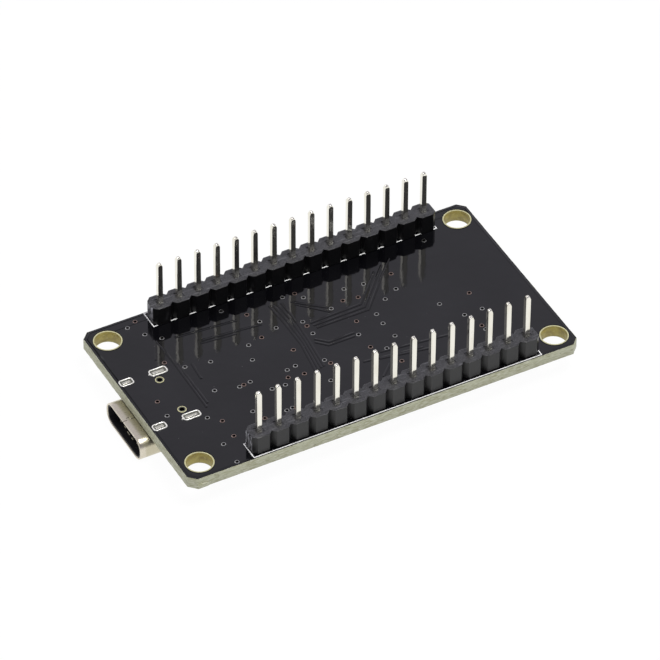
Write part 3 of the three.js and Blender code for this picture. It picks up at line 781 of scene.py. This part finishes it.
def shell_leg_solder():
    """A raised rim round each slot, painted near white as a highlight, and the solder that fills it round the
    leg, its bed painted dark as shade.
    """
    rims = []
    fills = []
    bead = [(-0.085, -0.03), (-0.08, 0.03), (-0.04, 0.07), (0.035, 0.065), (0.08, 0.02), (0.085, -0.03)]
    for x, y, length in SLOTS:
        reach = length / 2 + 0.22
        rims.append(ribbon(rounded(x, y, reach, SLOT_WIDTH / 2 + 0.19, 0.30), bead, True, TOP))
        if x > SHELL_HIGH.x - 2:
            tail = [(x - reach + 0.1, y - 0.05), (x - reach - 0.28, y - 0.12)]
            rims.append(ribbon(tail, bead, level=TOP - 0.02))
        # The bed is solder painted dark as shade
        bed = rounded(x, y, length / 2 + 0.18, SLOT_WIDTH / 2 + 0.15, 0.28)
        fills.append(prism(bed, TOP - 0.045, TOP + 0.006))
        start, end = x - length / 2 + 0.03, x + length / 2 - 0.13
        fills.append(block(start, end, y - 0.26, y + 0.13, TOP - 0.1, TOP + 0.05, 0.045, 1))
    solid("slot_solder_rims", joined(rims), [HIGHLIGHT_SOLDER])
    solid("slot_solder_fills", joined(fills), [SHADED_SOLDER, SOLDER])


# ---- Headers ----


def strip_outline(side):
    """Blocks with chamfered corners, end to end."""
    low, high = sorted(-side * y for y in (STRIP_LOW.y, STRIP_HIGH.y))
    flat = PITCH / 2 - STRIP_CHAMFER
    points = []
    for x in PIN_XS:
        points += [(x - PITCH / 2, low + STRIP_CHAMFER), (x - flat, low), (x + flat, low)]
    points.append((STRIP_HIGH.x, low + STRIP_CHAMFER))
    for x in reversed(PIN_XS):
        points += [(x + PITCH / 2, high - STRIP_CHAMFER), (x + flat, high), (x - flat, high)]
    points.append((STRIP_LOW.x, high - STRIP_CHAMFER))
    return points


def seat(x, y):
    """The moulded collar that grips a pin, with a funnel down to it."""
    middle = (SEAT_REACH + PIN_WIDTH / 2) / 2
    half = (SEAT_REACH - PIN_WIDTH / 2) / 2
    path = [(x + cx * middle, y + cy * middle) for cx, cy in CORNERS]
    section = [(-half, 0.1), (half, 0.1), (half, STRIP_HIGH.z - 0.16), (-half, STRIP_HIGH.z - 0.05)]
    # The collar takes the lighter finish of the upward faces: painted light
    return painted(ribbon(path, section, True), 2)


def header_strip(label, side):
    """A row of blocks with a funnel round each pin. The end that was snapped off has pale ridges. The upward
    faces and the collars are painted lighter as light, the rest darker as shade.
    """
    y = side * ROW_Y
    holes = [rounded(x, y, STRIP_RECESS, STRIP_RECESS, 0.12, 3) for x in PIN_XS]
    body = plate([strip_outline(side)] + holes, STRIP_LOW.z + 0.02, STRIP_HIGH.z, 0.05)
    for face in body.faces:
        # Upward faces get the lighter finish as painted light, the rest the darker one as painted shade
        face.material_index = 2 if face.normal.z > 0.9 else 0
    rng = random.Random(5 + side)
    ridges = []
    inside = STRIP_LOW.x + 0.05
    for index in range(5):
        middle = y - 0.62 + index * 0.3 + rng.uniform(-0.05, 0.05)
        outside = STRIP_LOW.x - rng.uniform(0.05, 0.13)
        low = rng.uniform(0.1, 0.9)
        high = STRIP_HIGH.z - rng.uniform(0.0, 0.25)
        foot = [(inside, middle + 0.1), (inside, middle - 0.09)]
        crest = [(outside, middle - 0.03), (outside, middle + 0.02)]
        ridges.append(prism(foot + crest, low, high, 0.015, 1))
    parts = [body] + [seat(x, y) for x in PIN_XS] + ridges
    solid(f"strip_{label}_moulding", joined(parts), [HEADER, SNAPPED, HEADER_TOP_LIT_AND_SCRATCHED],
          stands_for=[f"header_strip_{label}"], crease=40)


def post(x, y, lean):
    """A square pin with softened edges and a blunt, rounded tip at each end."""
    levels = [
        (PIN_LOW.z, PIN_TIP_WIDTH), (PIN_LOW.z + PIN_TIP_LENGTH, PIN_WIDTH),
        (PIN_HIGH.z - PIN_TIP_LENGTH, PIN_WIDTH), (PIN_HIGH.z, PIN_TIP_WIDTH),
    ]
    mesh = loft([[(cx * width / 2, cy * width / 2, z) for cx, cy in CORNERS] for z, width in levels])
    soften(mesh, 0.07, segments=3, angle=20)
    stand = Matrix.Translation((x, y, 0))
    for turn, axis in zip(lean, "XYZ"):
        stand = stand @ Matrix.Rotation(turn, 4, axis)
    return moved(mesh, stand)


def header_pins(label, side):
    rng = random.Random(23 + side)
    for number, x in enumerate(PIN_XS, 1):
        lean = [math.radians(rng.uniform(-reach, reach)) for reach in (0.22, 0.22, 1.2)]
        solid(f"post_{label}_{number:02d}", post(x, side * ROW_Y, lean), [PIN],
              stands_for=[f"pin_{label}_{number:02d}"])


def pin_joints():
    """The solder cones of the pins on the component side, each a little different."""
    rng = random.Random(31)
    parts = []
    for side in SIDES:
        for x in PIN_XS:
            wide, tall = rng.uniform(0.78, 0.86), rng.uniform(0.75, 1.0)
            profile = [(0, -0.3), (0.85, -0.02), (0.85, 0.02), (wide, 0.05), (wide * 0.72, tall * 0.32),
                       (0.47, tall * 0.7), (0.4, tall), (0, tall + 0.03)]
            parts.append(lathe(profile, x, -side * ROW_Y, 24))
    solid("pin_solder_joints", hung(parts), [SOLDER])


# ---- USB-C receptacle ----


def mouth_outline(inset, steps):
    """The receptacle's rounded section at that depth, as (y, z) points."""
    half_z = (SHELL_TOP - SHELL_LOW.z) / 2
    return rounded(0, SHELL_MIDDLE, SHELL_HIGH.y - inset, half_z - inset, SHELL_RADIUS - inset, steps)


def sheet_side(inset, shift):
    """One side of the bent sheet's section, from the seam's +Y edge round to its other edge."""
    bends = mouth_outline(inset, 8)
    bends.sort(key=lambda point: math.atan2(point[0], point[1] - SHELL_MIDDLE) % (2 * math.pi))
    top = SHELL_TOP - inset
    return [(shift + SEAM_HALF_GAP, top)] + bends + [(shift - SEAM_HALF_GAP, top)]


def usb_shell():
    """One bent sheet whose two edges meet in a seam with a keyed step."""
    rim = 0.05
    stations = [(0.0, rim, 0.0), (rim, 0.0, 0.0)]
    for start, end, shift in ((0.55, 1.0, SEAM_KEY), (2.2, 4.0, -SEAM_KEY)):
        stations += [(start, 0.0, 0.0), (start + 0.01, 0.0, shift), (end, 0.0, shift), (end + 0.01, 0.0, 0.0)]
    stations += [(SHELL_LENGTH - rim, 0.0, 0.0), (SHELL_LENGTH, rim, 0.0)]
    rings = []
    for along, trim, shift in stations:
        section = sheet_side(trim, shift) + sheet_side(SHELL_WALL - trim, shift)[::-1]
        rings.append([(SHELL_LOW.x + along, y, z) for y, z in section])
    return loft(rings)


def shell_legs():
    parts = []
    for x, _, half in LEG_PAIRS:
        for side in SIDES:
            y0, y1 = side * LEG_Y - 0.15, side * LEG_Y + 0.15
            parts.append(block(x - half, x + half, y0, y1, SHELL_TOP - 1.2, TOP - 0.15, 0.05))
    return parts


def spring_tips():
    """The tab at the seam, and the bent-in ends of the ground springs just inside the mouth."""
    rng = random.Random(17)
    tab = SHELL_LOW.x + 0.95
    parts = [block(tab, tab + 0.25, 0.05, 0.4, SHELL_TOP - 0.05, SHELL_TOP + 0.03, 0.03)]
    for index in range(6):
        y = (index - 2.5) * 1.12 + rng.uniform(-0.15, 0.15)
        half = rng.uniform(0.18, 0.4)
        x = SHELL_LOW.x + rng.uniform(0.85, 1.05)
        parts.append(block(x, x + 0.4, y - half, y + half, SHELL_LOW.z + 0.35, SHELL_LOW.z + 0.52))
    return parts


def usb_insulator(tip, front, back):
    """The block that fills the shell's back, two layers of tongue, a black sheet inside the shell's walls
    that stands in for the shade in the mouth, and the locating pegs.
    """
    upright = Matrix(((0, 0, 1, 0), (1, 0, 0, 0), (0, 1, 0, 0), (0, 0, 0, 1)))
    parts = [moved(prism(mouth_outline(0.32, 6), front, back, 0.04), upright)]
    parts.append(block(front + 0.1, back, -3.2, 3.2, SHELL_MIDDLE, UNDER - 0.01, 0.03))
    root = front + 0.2
    layer = rounded((tip + root) / 2, 0, (root - tip) / 2, 3.345, 0.35, 4)
    for side in SIDES:
        z0, z1 = sorted((SHELL_MIDDLE + side * 0.085, SHELL_MIDDLE + side * 0.35))
        parts.append(prism(layer, z0, z1, 0.05))
    # Painted shade: a black sheet along the shell's inner walls darkens the mouth
    shade_sheet = plate([mouth_outline(0.21, 6), mouth_outline(0.40, 6)], SHELL_LOW.x + 0.1, front + 0.1)
    parts.append(moved(shade_sheet, upright))
    peg = [(0, UNDER - 0.5), (0.25, UNDER - 0.5), (0.25, UNDER + 0.8), (0.18, UNDER + 0.9), (0, UNDER + 0.9)]
    return parts + [lathe(peg, *spot) for spot in PEG_SPOTS]


def usb_receptacle():
    sheet = joined([usb_shell()] + shell_legs() + spring_tips())
    solid("usb_shell_sheet", sheet, [SHELL], stands_for=["usb_shell"])
    low, high = mm_box("usb_insulator")
    tip, back = low.x, high.x
    front = back - 1.55
    solid("usb_tongue_moulding", joined(usb_insulator(tip, front, back)), [TONGUE],
          stands_for=["usb_insulator"])
    contacts = []
    tails = []
    for index in range(CONTACTS):
        y = (index - (CONTACTS - 1) / 2) * CONTACT_PITCH
        start = tip + (0.45 if index in LONG_CONTACTS else 0.8)
        for side in SIDES:
            z0, z1 = SHELL_MIDDLE + side * 0.33, SHELL_MIDDLE + side * 0.375
            contacts.append(block(start, front + 0.1, y - 0.125, y + 0.125, z0, z1, 0.015))
        tails.append(block(back - 0.2, back + 0.95, y - 0.12, y + 0.12, UNDER - 0.16, UNDER - 0.02, 0.03))
        tails.append(block(back + 0.5, back + 0.98, y - 0.16, y + 0.16, UNDER - 0.07, UNDER + 0.01, 0.02))
    solid("usb_contacts", joined(contacts), [GOLD])
    solid("usb_contact_tails", joined(tails), [TIN])
    finish_node("usb_mid_plate", STEEL)


# ---- Component side: every part stands on z = 0 round (0, 0) until hung() places it ----


def finish_node(node, finish):
    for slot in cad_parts[node].material_slots:
        slot.material = finish.material


def node_spot(node):
    """Centre, half length, half width and height of a node, as it stands on the component side."""
    low, high = mm_box(node)
    middle, half = (low + high) / 2, (high - low) / 2
    return middle.x, -middle.y, half.x, half.y, UNDER - low.z


def pad(x, y, half_x, half_y, paint=0):
    return prism(rounded(x, y, half_x, half_y, 0.06, 3), -0.02, 0.03, 0.0, paint)


def fillet(x0, x1, y, rise, away, paint=1):
    """A wedge of solder that climbs a part's end. away is +1 or -1, the way that it runs out along y."""
    section = [(0, 0.0), (0.28 * away, 0.02), (0.12 * away, rise * 0.35), (0.02 * away, rise), (0, rise)]
    return painted(loft([[(x, y + out, z) for out, z in section] for x in (x0, x1)]), paint)


def terminals(reach, cap, half, height, rise, land, paint=1, bevel=0.03, trim=0.0):
    """A part's two metal ends, out to reach, with solder and a land (shift, half x, half y) each."""
    parts = []
    for side in SIDES:
        parts.append(block(-half, half, side * reach, side * (reach - cap), 0.02, height, bevel, paint))
        parts.append(fillet(trim - half, half - trim, side * (reach - 0.02), rise, side, paint))
        parts.append(pad(0, side * (reach + land[0]), land[1], land[2], paint))
    return parts


def chip_part(name, x, y, length, width, height, finish, along_x=False, stands_for=()):
    """A two-terminal chip: a body, two wrapped ends and their solder, with its length along y."""
    half_x, half_y = width / 2, length / 2
    body = block(0.02 - half_x, half_x - 0.02, 0.02 - half_y, half_y - 0.02, 0.04, height - 0.02)
    cap = min(0.5, length * 0.2)
    land = (0.02, half_x + 0.05, 0.32)
    ends = terminals(half_y, cap, half_x, height, height * 0.6, land, bevel=0.06, trim=0.04)
    turn = Matrix.Rotation(math.pi / 2, 4, "Z") if along_x else Matrix.Identity(4)
    chip = moved(joined([body] + ends), turn)
    solid(name, hung([chip], x, y), [finish, SOLDER], stands_for=stands_for)


def gull_lead(side, y, width, body_edge, reach, exit_level, thick):
    """A bent lead: out of the body, down, and out along the land under its foot."""
    foot = reach - (0.7 if reach > 2 else 0.35)
    under = [(body_edge - 0.1, exit_level), (foot - 0.1, exit_level), (foot, exit_level * 0.8),
             (foot + 0.04, thick * 0.9), (foot + 0.16, 0.02), (reach, 0.02)]
    over = [(reach, 0.02 + thick), (foot + 0.2, 0.02 + thick), (foot + thick + 0.06, thick * 1.8),
            (foot + thick, exit_level), (foot + thick * 0.6, exit_level + thick * 0.9),
            (foot, exit_level + thick), (body_edge - 0.1, exit_level + thick)]
    lead = loft([[(side * x, edge, z) for x, z in under + over] for edge in (y - width / 2, y + width / 2)])
    middle, half = (foot + reach + 0.05) / 2, (reach - foot + 0.25) / 2
    land = prism(rounded(side * middle, y, half, width / 2 + 0.08, 0.05, 2), -0.02, 0.04)
    return [painted(lead, 1), painted(land, 1)]


def leaded_chip(node, length, width, bottom, lead_width, pitch, left, right, right_width=None, dot=True):
    """A moulded chip with that many leads on each long side, and a dimple by its first lead."""
    x, y, reach, _, height = node_spot(node)
    half_x, half_y = width / 2, length / 2
    middle = (bottom + height) / 2
    draft = 0.12
    levels = [(bottom, draft), (middle - 0.06, 0.0), (middle + 0.06, 0.0), (height, draft)]
    body = loft([
        [(cx * (half_x - inset), cy * (half_y - inset), z) for cx, cy in CORNERS] for z, inset in levels
    ])
    soften(body, 0.05, angle=20)
    parts = [painted(body, 0)]
    if dot:
        dimple = [(0, height - 0.05), (0.28, height - 0.05), (0.34, height + 0.012), (0.38, height + 0.012),
                  (0.40, height - 0.08), (0, height - 0.08)]
        parts.append(lathe(dimple, 0.75 - half_x, half_y - 0.8))
    thick = 0.12 if reach < 2 else 0.2
    for side, count, wide in ((1, right, right_width or lead_width), (-1, left, lead_width)):
        for index in range(count):
            lead_y = (index - (count - 1) / 2) * pitch
            parts += gull_lead(side, lead_y, wide, half_x, reach - 0.05, middle - thick / 2, thick)
    solid(f"{node}_body", hung(parts, x, y), [CHIP, TIN], stands_for=[node])


def diode_part(node):
    x, y, half_x, half_y, height = node_spot(node)
    body = half_y - 0.5
    parts = [prism(rounded(0, 0, half_x, body, 0.08, 2), 0.06, height, 0.1)]
    reach = half_x - 0.01
    parts.append(block(-reach, reach, body - 0.55, body - 0.25, height - 0.05, height + 0.004, 0.002, 2))
    parts += terminals(half_y, 0.6, 0.4, 0.17, 0.14, (-0.05, 0.55, 0.4))
    solid(f"{node}_body", hung(parts, x, y), [CHIP, SOLDER, SILK], stands_for=[node])


def led_part(node):
    x, y, half_x, half_y, height = node_spot(node)
    parts = [block(-half_x, half_x, 0.05 - half_y, half_y - 0.05, 0.02, 0.25, 0.03)]
    parts.append(prism(rounded(0, 0, half_x - 0.02, 0.5, 0.06, 3), 0.22, height, 0.09, 1))
    parts += terminals(half_y, 0.28, half_x, 0.27, 0.2, (0, half_x + 0.05, 0.3), paint=2, trim=0.04)
    solid(f"{node}_body", hung(parts, x, y), [LED_BASE, LENS, SOLDER], stands_for=[node])


def tactile_button(label):
    """Base, steel cover with crimped tabs, a plunger that rides on its own body, and a dome that stays with
    the board.
    """
    x, y, half_x, half_y, height = node_spot(f"{label}_button_cover")
    _, _, tab, _, base_height = node_spot(f"{label}_button_base")
    base = [plate([rounded(0, 0, half_x, half_y, 0.12, 3), circle(0, 0, 1.2, 32)], 0.31, base_height, 0.03)]
    base.append(block(-half_x, half_x, -half_y, half_y, 0.03, 0.30, 0.03))
    inside = half_x - 0.1
    for side in SIDES:
        for lead_y in (-0.95, 0.95):
            low, high = lead_y - 0.35, lead_y + 0.35
            base.append(block(side * inside, side * (tab + 0.25), low, high, 0.02, 0.16, 0.03, 1))
        base.append(block(side * inside, side * tab, -0.4, 0.4, 0.03, 0.15, 0.03))
    solid(f"{label}_base_moulding", hung(base, x, y), [BUTTON_NYLON, TIN],
          stands_for=[f"{label}_button_base"])
    opening = circle(0, 0, 0.82, 32)
    cover = [plate([rounded(0, 0, half_x, half_y, 0.3, 4), opening], base_height + 0.005, height, 0.04)]
    for side in SIDES:
        y0, y1 = side * (half_y - 0.02), side * (half_y + 0.1)
        cover.append(block(-0.7, 0.7, y0, y1, base_height - 0.7, height - 0.03))
    solid(f"{label}_cover_plate", hung(cover, x, y), [STEEL], stands_for=[f"{label}_button_cover"])
    plunger_low, plunger_high = mm_box(f"{label}_button_plunger")
    top, bottom = UNDER - plunger_low.z, UNDER - plunger_high.z
    flange = base_height - 0.02
    profile = [(0, bottom), (0.35, bottom), (0.35, flange - 0.3), (0.98, flange - 0.3), (1.0, flange - 0.27),
               (1.0, flange - 0.02), (0.98, flange), (0.75, flange), (0.75, top - 0.12), (0.72, top - 0.04),
               (0.64, top), (0.5, top - 0.015), (0, top - 0.03)]
    solid(f"{label}_plunger_cap", hung([lathe(profile, sides=40)], x, y), [BUTTON_NYLON],
          body=f"{label}_plunger", stands_for=[f"{label}_button_plunger"], crease=60)
    button_dome(label)


def button_dome(label):
    """The sprung steel dome under a plunger, in its rest shape. The real dome flattens as the button is
    pressed; this one rides on the board and does not.
    """
    node = f"{label}_button_dome"
    x, y, radius, _, _ = node_spot(node)
    low, high = mm_box(node)
    foot, rise = UNDER - high.z, high.z - low.z
    shares = [step / DOME_STEPS for step in range(DOME_STEPS + 1)]
    under = [(radius * share, foot + (rise - DOME_SHEET) * (1 - share ** 2)) for share in shares]
    over = [(across, level + DOME_SHEET) for across, level in reversed(under)]
    dome = hung([lathe(under + over, sides=32)], x, y)
    sheet = solid(f"{label}_dome_sheet", dome, [STEEL], stands_for=[node], crease=60)
    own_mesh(sheet)


# ---- Radio module ----


def module_outline(low, high, long_pads, short_pads):
    """The module's board, with a half-round notch at each plated edge pad."""
    turns = [math.pi * step / NOTCH_STEPS for step in range(NOTCH_STEPS + 1)]
    arc = [(NOTCH_RADIUS * math.cos(turn), NOTCH_RADIUS * math.sin(turn)) for turn in turns]
    points = [(low.x, low.y)]
    for x in long_pads:
        points += [(x - along, low.y + inward) for along, inward in arc]
    points += [(high.x, low.y), (high.x, high.y)]
    for x in reversed(long_pads):
        points += [(x + along, high.y - inward) for along, inward in arc]
    points.append((low.x, high.y))
    for y in reversed(short_pads):
        points += [(low.x + inward, y + along) for along, inward in arc]
    return points


def module_lands(low, high, long_pads, short_pads):
    """The gold edge pads, with solder down to the pads of the board under them."""
    land_low, land_high = MODULE_THICKNESS - 0.02, MODULE_THICKNESS + 0.015
    parts = []
    for x in long_pads:
        for y, side in ((low.y, -1), (high.y, 1)):
            parts.append(block(x - 0.42, x + 0.42, y, y - side * 0.85, land_low, land_high, 0.008))
            parts.append(fillet(x - 0.3, x + 0.3, y, 0.6, side, 0))
            parts.append(pad(x, y + side * 0.3, 0.42, 0.6))
    for y in short_pads:
        parts.append(block(low.x, low.x + 0.85, y - 0.42, y + 0.42, land_low, land_high, 0.008))
        parts.append(pad(low.x - 0.3, y, 0.6, 0.42))
    return parts


def module_antenna():
    """A meandering copper trace with its feed and its ground arm."""
    start, step = 6.4, 1.05
    meander = [(19.4, start)]
    for index in range(7):
        x = 20.7 if index % 2 else 25.1
        meander += [(x, start - step * index), (x, start - step * (index + 1))]
    meander.append((24.6, start - step * 7))
    ground = [(19.4, -4.6), (19.4, 0.6)]
    feed = [(19.4, start), (19.4, 4.0)]
    line = raised(0.23, 0.02, 0.02)
    return [ribbon(path, line, level=MODULE_THICKNESS - 0.01) for path in (meander, ground, feed)]


def shield_can():
    """The can's walls, its lid with a raised panel, and the clips along its long sides."""
    x, y, half_x, half_y, top = node_spot("module_shield")
    rings = [rounded(0, 0, half_x - inset, half_y - inset, 0.6 - inset, 6) for inset in (0, CAN_WALL)]
    parts = [plate(rings, MODULE_THICKNESS, top - 0.25)]
    parts.append(prism(rings[0], top - CAN_WALL - 0.08, top - 0.03, 0.10))
    parts.append(prism(rounded(0, 0, half_x - 1.0, half_y - 1.0, 0.5, 6), top - 0.1, top, 0.025))
    for index in range(6):
        spot = (half_x - 2.2) * (index * 2 / 5 - 1)
        for side in SIDES:
            y0, y1 = side * (half_y - 0.05), side * (half_y + 0.02)
            clip = block(spot - 0.5, spot + 0.5, y0, y1, MODULE_THICKNESS + 0.2, MODULE_THICKNESS + 0.9, 0.02)
            parts.append(clip)
    return hung(parts, x, y)


def radio_module():
    low, high = mm_box("module_board")
    low, high = Vector((low.x, -high.y)), Vector((high.x, -low.y))
    long_pads = [1.6 + MODULE_PITCH * index for index in range(14)]
    short_pads = [MODULE_PITCH * (index - 4.5) for index in range(10)]
    board = plate([module_outline(low, high, long_pads, short_pads)], 0.03, MODULE_THICKNESS - 0.01, 0.01)
    solid("module_board_plate", hung([board]), [MODULE_MASK], stands_for=["module_board"],
          flat_caps=True)
    solid("module_edge_pads", hung(module_lands(low, high, long_pads, short_pads)), [GOLD])
    solid("module_antenna", hung(module_antenna()), [COPPER], flat_caps=True)
    solid("module_shield_can", shield_can(), [SHIELD], stands_for=["module_shield"])
    for node, finish in (("module_processor", CHIP), ("module_flash", CHIP), ("module_crystal", STEEL)):
        finish_node(node, finish)


# ---- Small parts, tracks and print of the component side ----


def small_parts():
    leaded_chip("usb_serial_chip", 9.9, 3.9, 0.12, 0.42, 1.27, 8, 8)
    leaded_chip("voltage_regulator", 6.5, 3.5, 0.06, 0.75, 2.3, 3, 1, 3.0, dot=False)
    named = (("supply_capacitor", CERAMIC, "ceramic"), ("led_resistor", RESISTOR, "resistor_film"))
    for index in (1, 2):
        leaded_chip(f"reset_transistor_{index}", 2.9, 1.3, 0.06, 0.4, 1.9, 2, 1, dot=False)
        for label, finish, slot in named:
            node = f"{label}_{index}"
            x, y, half_x, half_y, height = node_spot(node)
            chip_part(f"{node}_body", x, y, 2 * half_y, 2 * half_x, height, finish, stands_for=[node])
    diode_part("input_diode")
    led_part("power_led")
    led_part("user_led")
    spots = [
        (-3.4, 7.6), (-3.4, 5.2), (-3.4, 2.8), (-3.4, -1.4), (-3.4, -6.6), (-17.6, 5.2), (-17.6, -5.2),
        (-8.6, -6.4),
    ]
    for index, (x, y) in enumerate(spots):
        if index % 2:
            name = f"chip_capacitor_{index}"
            chip_part(name, x, y, 1.6, 0.8, 0.8, CERAMIC, along_x=index % 4 == 1)
        else:
            chip_part(f"chip_resistor_{index}", x, y, 1.6, 0.8, 0.45, RESISTOR)


def component_side_tracks():
    """Tracks from the header pins to the module's pads and to the power parts."""
    paths = []
    for side in SIDES:
        for index, x in enumerate(PIN_XS[7:14]):
            pad_x = 1.6 + MODULE_PITCH * (2 * index + 1)
            paths.append([(x, side * 11.7), (x, side * 11.0), (pad_x, side * 10.1), (pad_x, side * 9.7)])
        for index, x in enumerate(PIN_XS[1:6]):
            lane = side * (9.2 - 0.45 * index)
            paths.append([(x, side * 11.7), (x + 0.4, side * 10.9), (x + 1.2, side * 10.2), (x + 1.4, lane)])
    tracks = [ribbon(path, raised(0.1, 0.022, 0.12)) for path in paths]
    solid("traces_component_side", hung(tracks), [MASK], flat_caps=True)


def component_side_silk():
    """A printed box round each larger part."""
    line = raised(PRINT_HALF, PRINT_HEIGHT, 0.01)
    boxes = []
    chips = ("usb_serial_chip", "voltage_regulator", "power_led", "user_led", "input_diode")
    rooms = [(node, 0.45, 0.45) for node in chips]
    rooms += [(f"{label}_button_cover", 0.9, 0.4) for label in ("reset", "boot")]
    for node, room_x, room_y in rooms:
        x, y, half_x, half_y, _ = node_spot(node)
        boxes.append(ribbon(rounded(x, y, half_x + room_x, half_y + room_y, 0.2, 2), line, True))
    solid("silk_parts_component_side", hung(boxes), [SILK], flat_caps=True)


# ---- Stage, light and camera ----


def floor():
    mesh = bmesh.new()
    bmesh.ops.create_grid(mesh, x_segments=8, y_segments=8, size=FLOOR_HALF)
    bmesh.ops.translate(mesh, verts=mesh.verts, vec=(0, 0, FLOOR_LEVEL - 0.02))
    data = bpy.data.meshes.new("floor")
    mesh.to_mesh(data)
    mesh.free()
    data.transform(Matrix.Scale(MM, 4))
    look = Finish("floor_paper", (0.03, 0.03, 0.03), 0.8)
    dial(look.shader, {
        "Specular IOR Level": 0.0, "Emission Color": (1.0, 1.0, 1.0, 1.0), "Emission Strength": FLOOR_GLOW,
    })
    data.materials.append(look.material)
    sheet = bpy.data.objects.new("floor", data)
    bpy.context.scene.collection.objects.link(sheet)


def surroundings():
    """A pale room: white at the horizon, darker overhead, and darkest behind the camera."""
    world = bpy.data.worlds.new("room")
    bpy.context.scene.world = world
    room = Tree(world)
    split = room.node("ShaderNodeSeparateXYZ", {})
    side = room.node("ShaderNodeMapRange", {"From Min": BACK_WALL_END, "From Max": FRONT_WALL_START})
    side.interpolation_type = "SMOOTHSTEP"
    mixed = room.mix(side.outputs["Result"])
    room.link(room.node("ShaderNodeTexCoord", {}).outputs["Generated"], split.inputs["Vector"])
    room.link(split.outputs["Y"], side.inputs["Value"])
    for stops, socket in ((BACK_WALL, MIX_UNDER), (FRONT_WALL, MIX_OVER)):
        ramp = room.node("ShaderNodeValToRGB", {})
        elements = ramp.color_ramp.elements
        elements[0].position = stops[0][0]
        elements[1].position = stops[-1][0]
        for position, _ in stops[1:-1]:
            elements.new(position)
        for element, (_, level) in zip(elements, stops):
            cast = SKY_CAST if level < 1.0 else (1.0, 1.0, 1.0)
            element.color = (*(level * channel for channel in cast), 1.0)
        room.link(split.outputs["Z"], ramp.inputs["Fac"])
        room.link(ramp.outputs["Color"], mixed.inputs[socket])
    room.link(mixed.outputs[MIX_RESULT], room.tree.nodes["Background"].inputs["Color"])


def bearing(azimuth, elevation):
    """The way from the board to that place."""
    turn, rise = math.radians(azimuth), math.radians(elevation)
    return Vector((math.sin(turn) * math.cos(rise), -math.cos(turn) * math.cos(rise), math.sin(rise)))


def put(name, data, place, turn):
    """Adds a light or a camera."""
    made = bpy.data.objects.new(name, data)
    made.location = place
    made.rotation_mode = "QUATERNION"
    made.rotation_quaternion = turn
    bpy.context.scene.collection.objects.link(made)
    return made


def softbox(name, azimuth, elevation, distance, width, height, power):
    """A rectangular light that faces the board."""
    back = bearing(azimuth, elevation)
    light = bpy.data.lights.new(name, "AREA")
    light.shape = "RECTANGLE"
    light.size, light.size_y = width, height
    light.energy = power
    put(name, light, back * distance, (-back).to_track_quat("-Z", "Y"))


def camera():
    back = bearing(CAMERA_AZIMUTH, CAMERA_ELEVATION)
    level_right = Vector((-back.y, back.x, 0)).normalized()
    roll = math.radians(CAMERA_ROLL)
    right = level_right * math.cos(roll) + back.cross(level_right) * math.sin(roll)
    data = bpy.data.cameras.new("camera")
    data.lens = CAMERA_LENS
    data.sensor_width = 36.0
    data.clip_start = 0.02
    data.clip_end = 20.0
    turn = Matrix((right, back.cross(right), back)).transposed().to_quaternion()
    eye = put("camera", data, (CAMERA_TARGET + back * CAMERA_DISTANCE) * MM, turn)
    bpy.context.scene.camera = eye


# ---- Everything in its place ----

camera()
surroundings()
for light_name, light_place in LIGHTS.items():
    softbox(light_name, *light_place)
floor()
bpy.context.scene.view_settings.view_transform = "Standard"

circuit_board()
solder_mask()
solder_side_traces()
hole_rings()
header_silk()
shell_leg_solder()
for row, row_side in (("front", -1), ("back", 1)):
    header_strip(row, row_side)
    header_pins(row, row_side)
pin_joints()
usb_receptacle()
radio_module()
tactile_button("reset")
tactile_button("boot")
small_parts()
component_side_tracks()
component_side_silk()
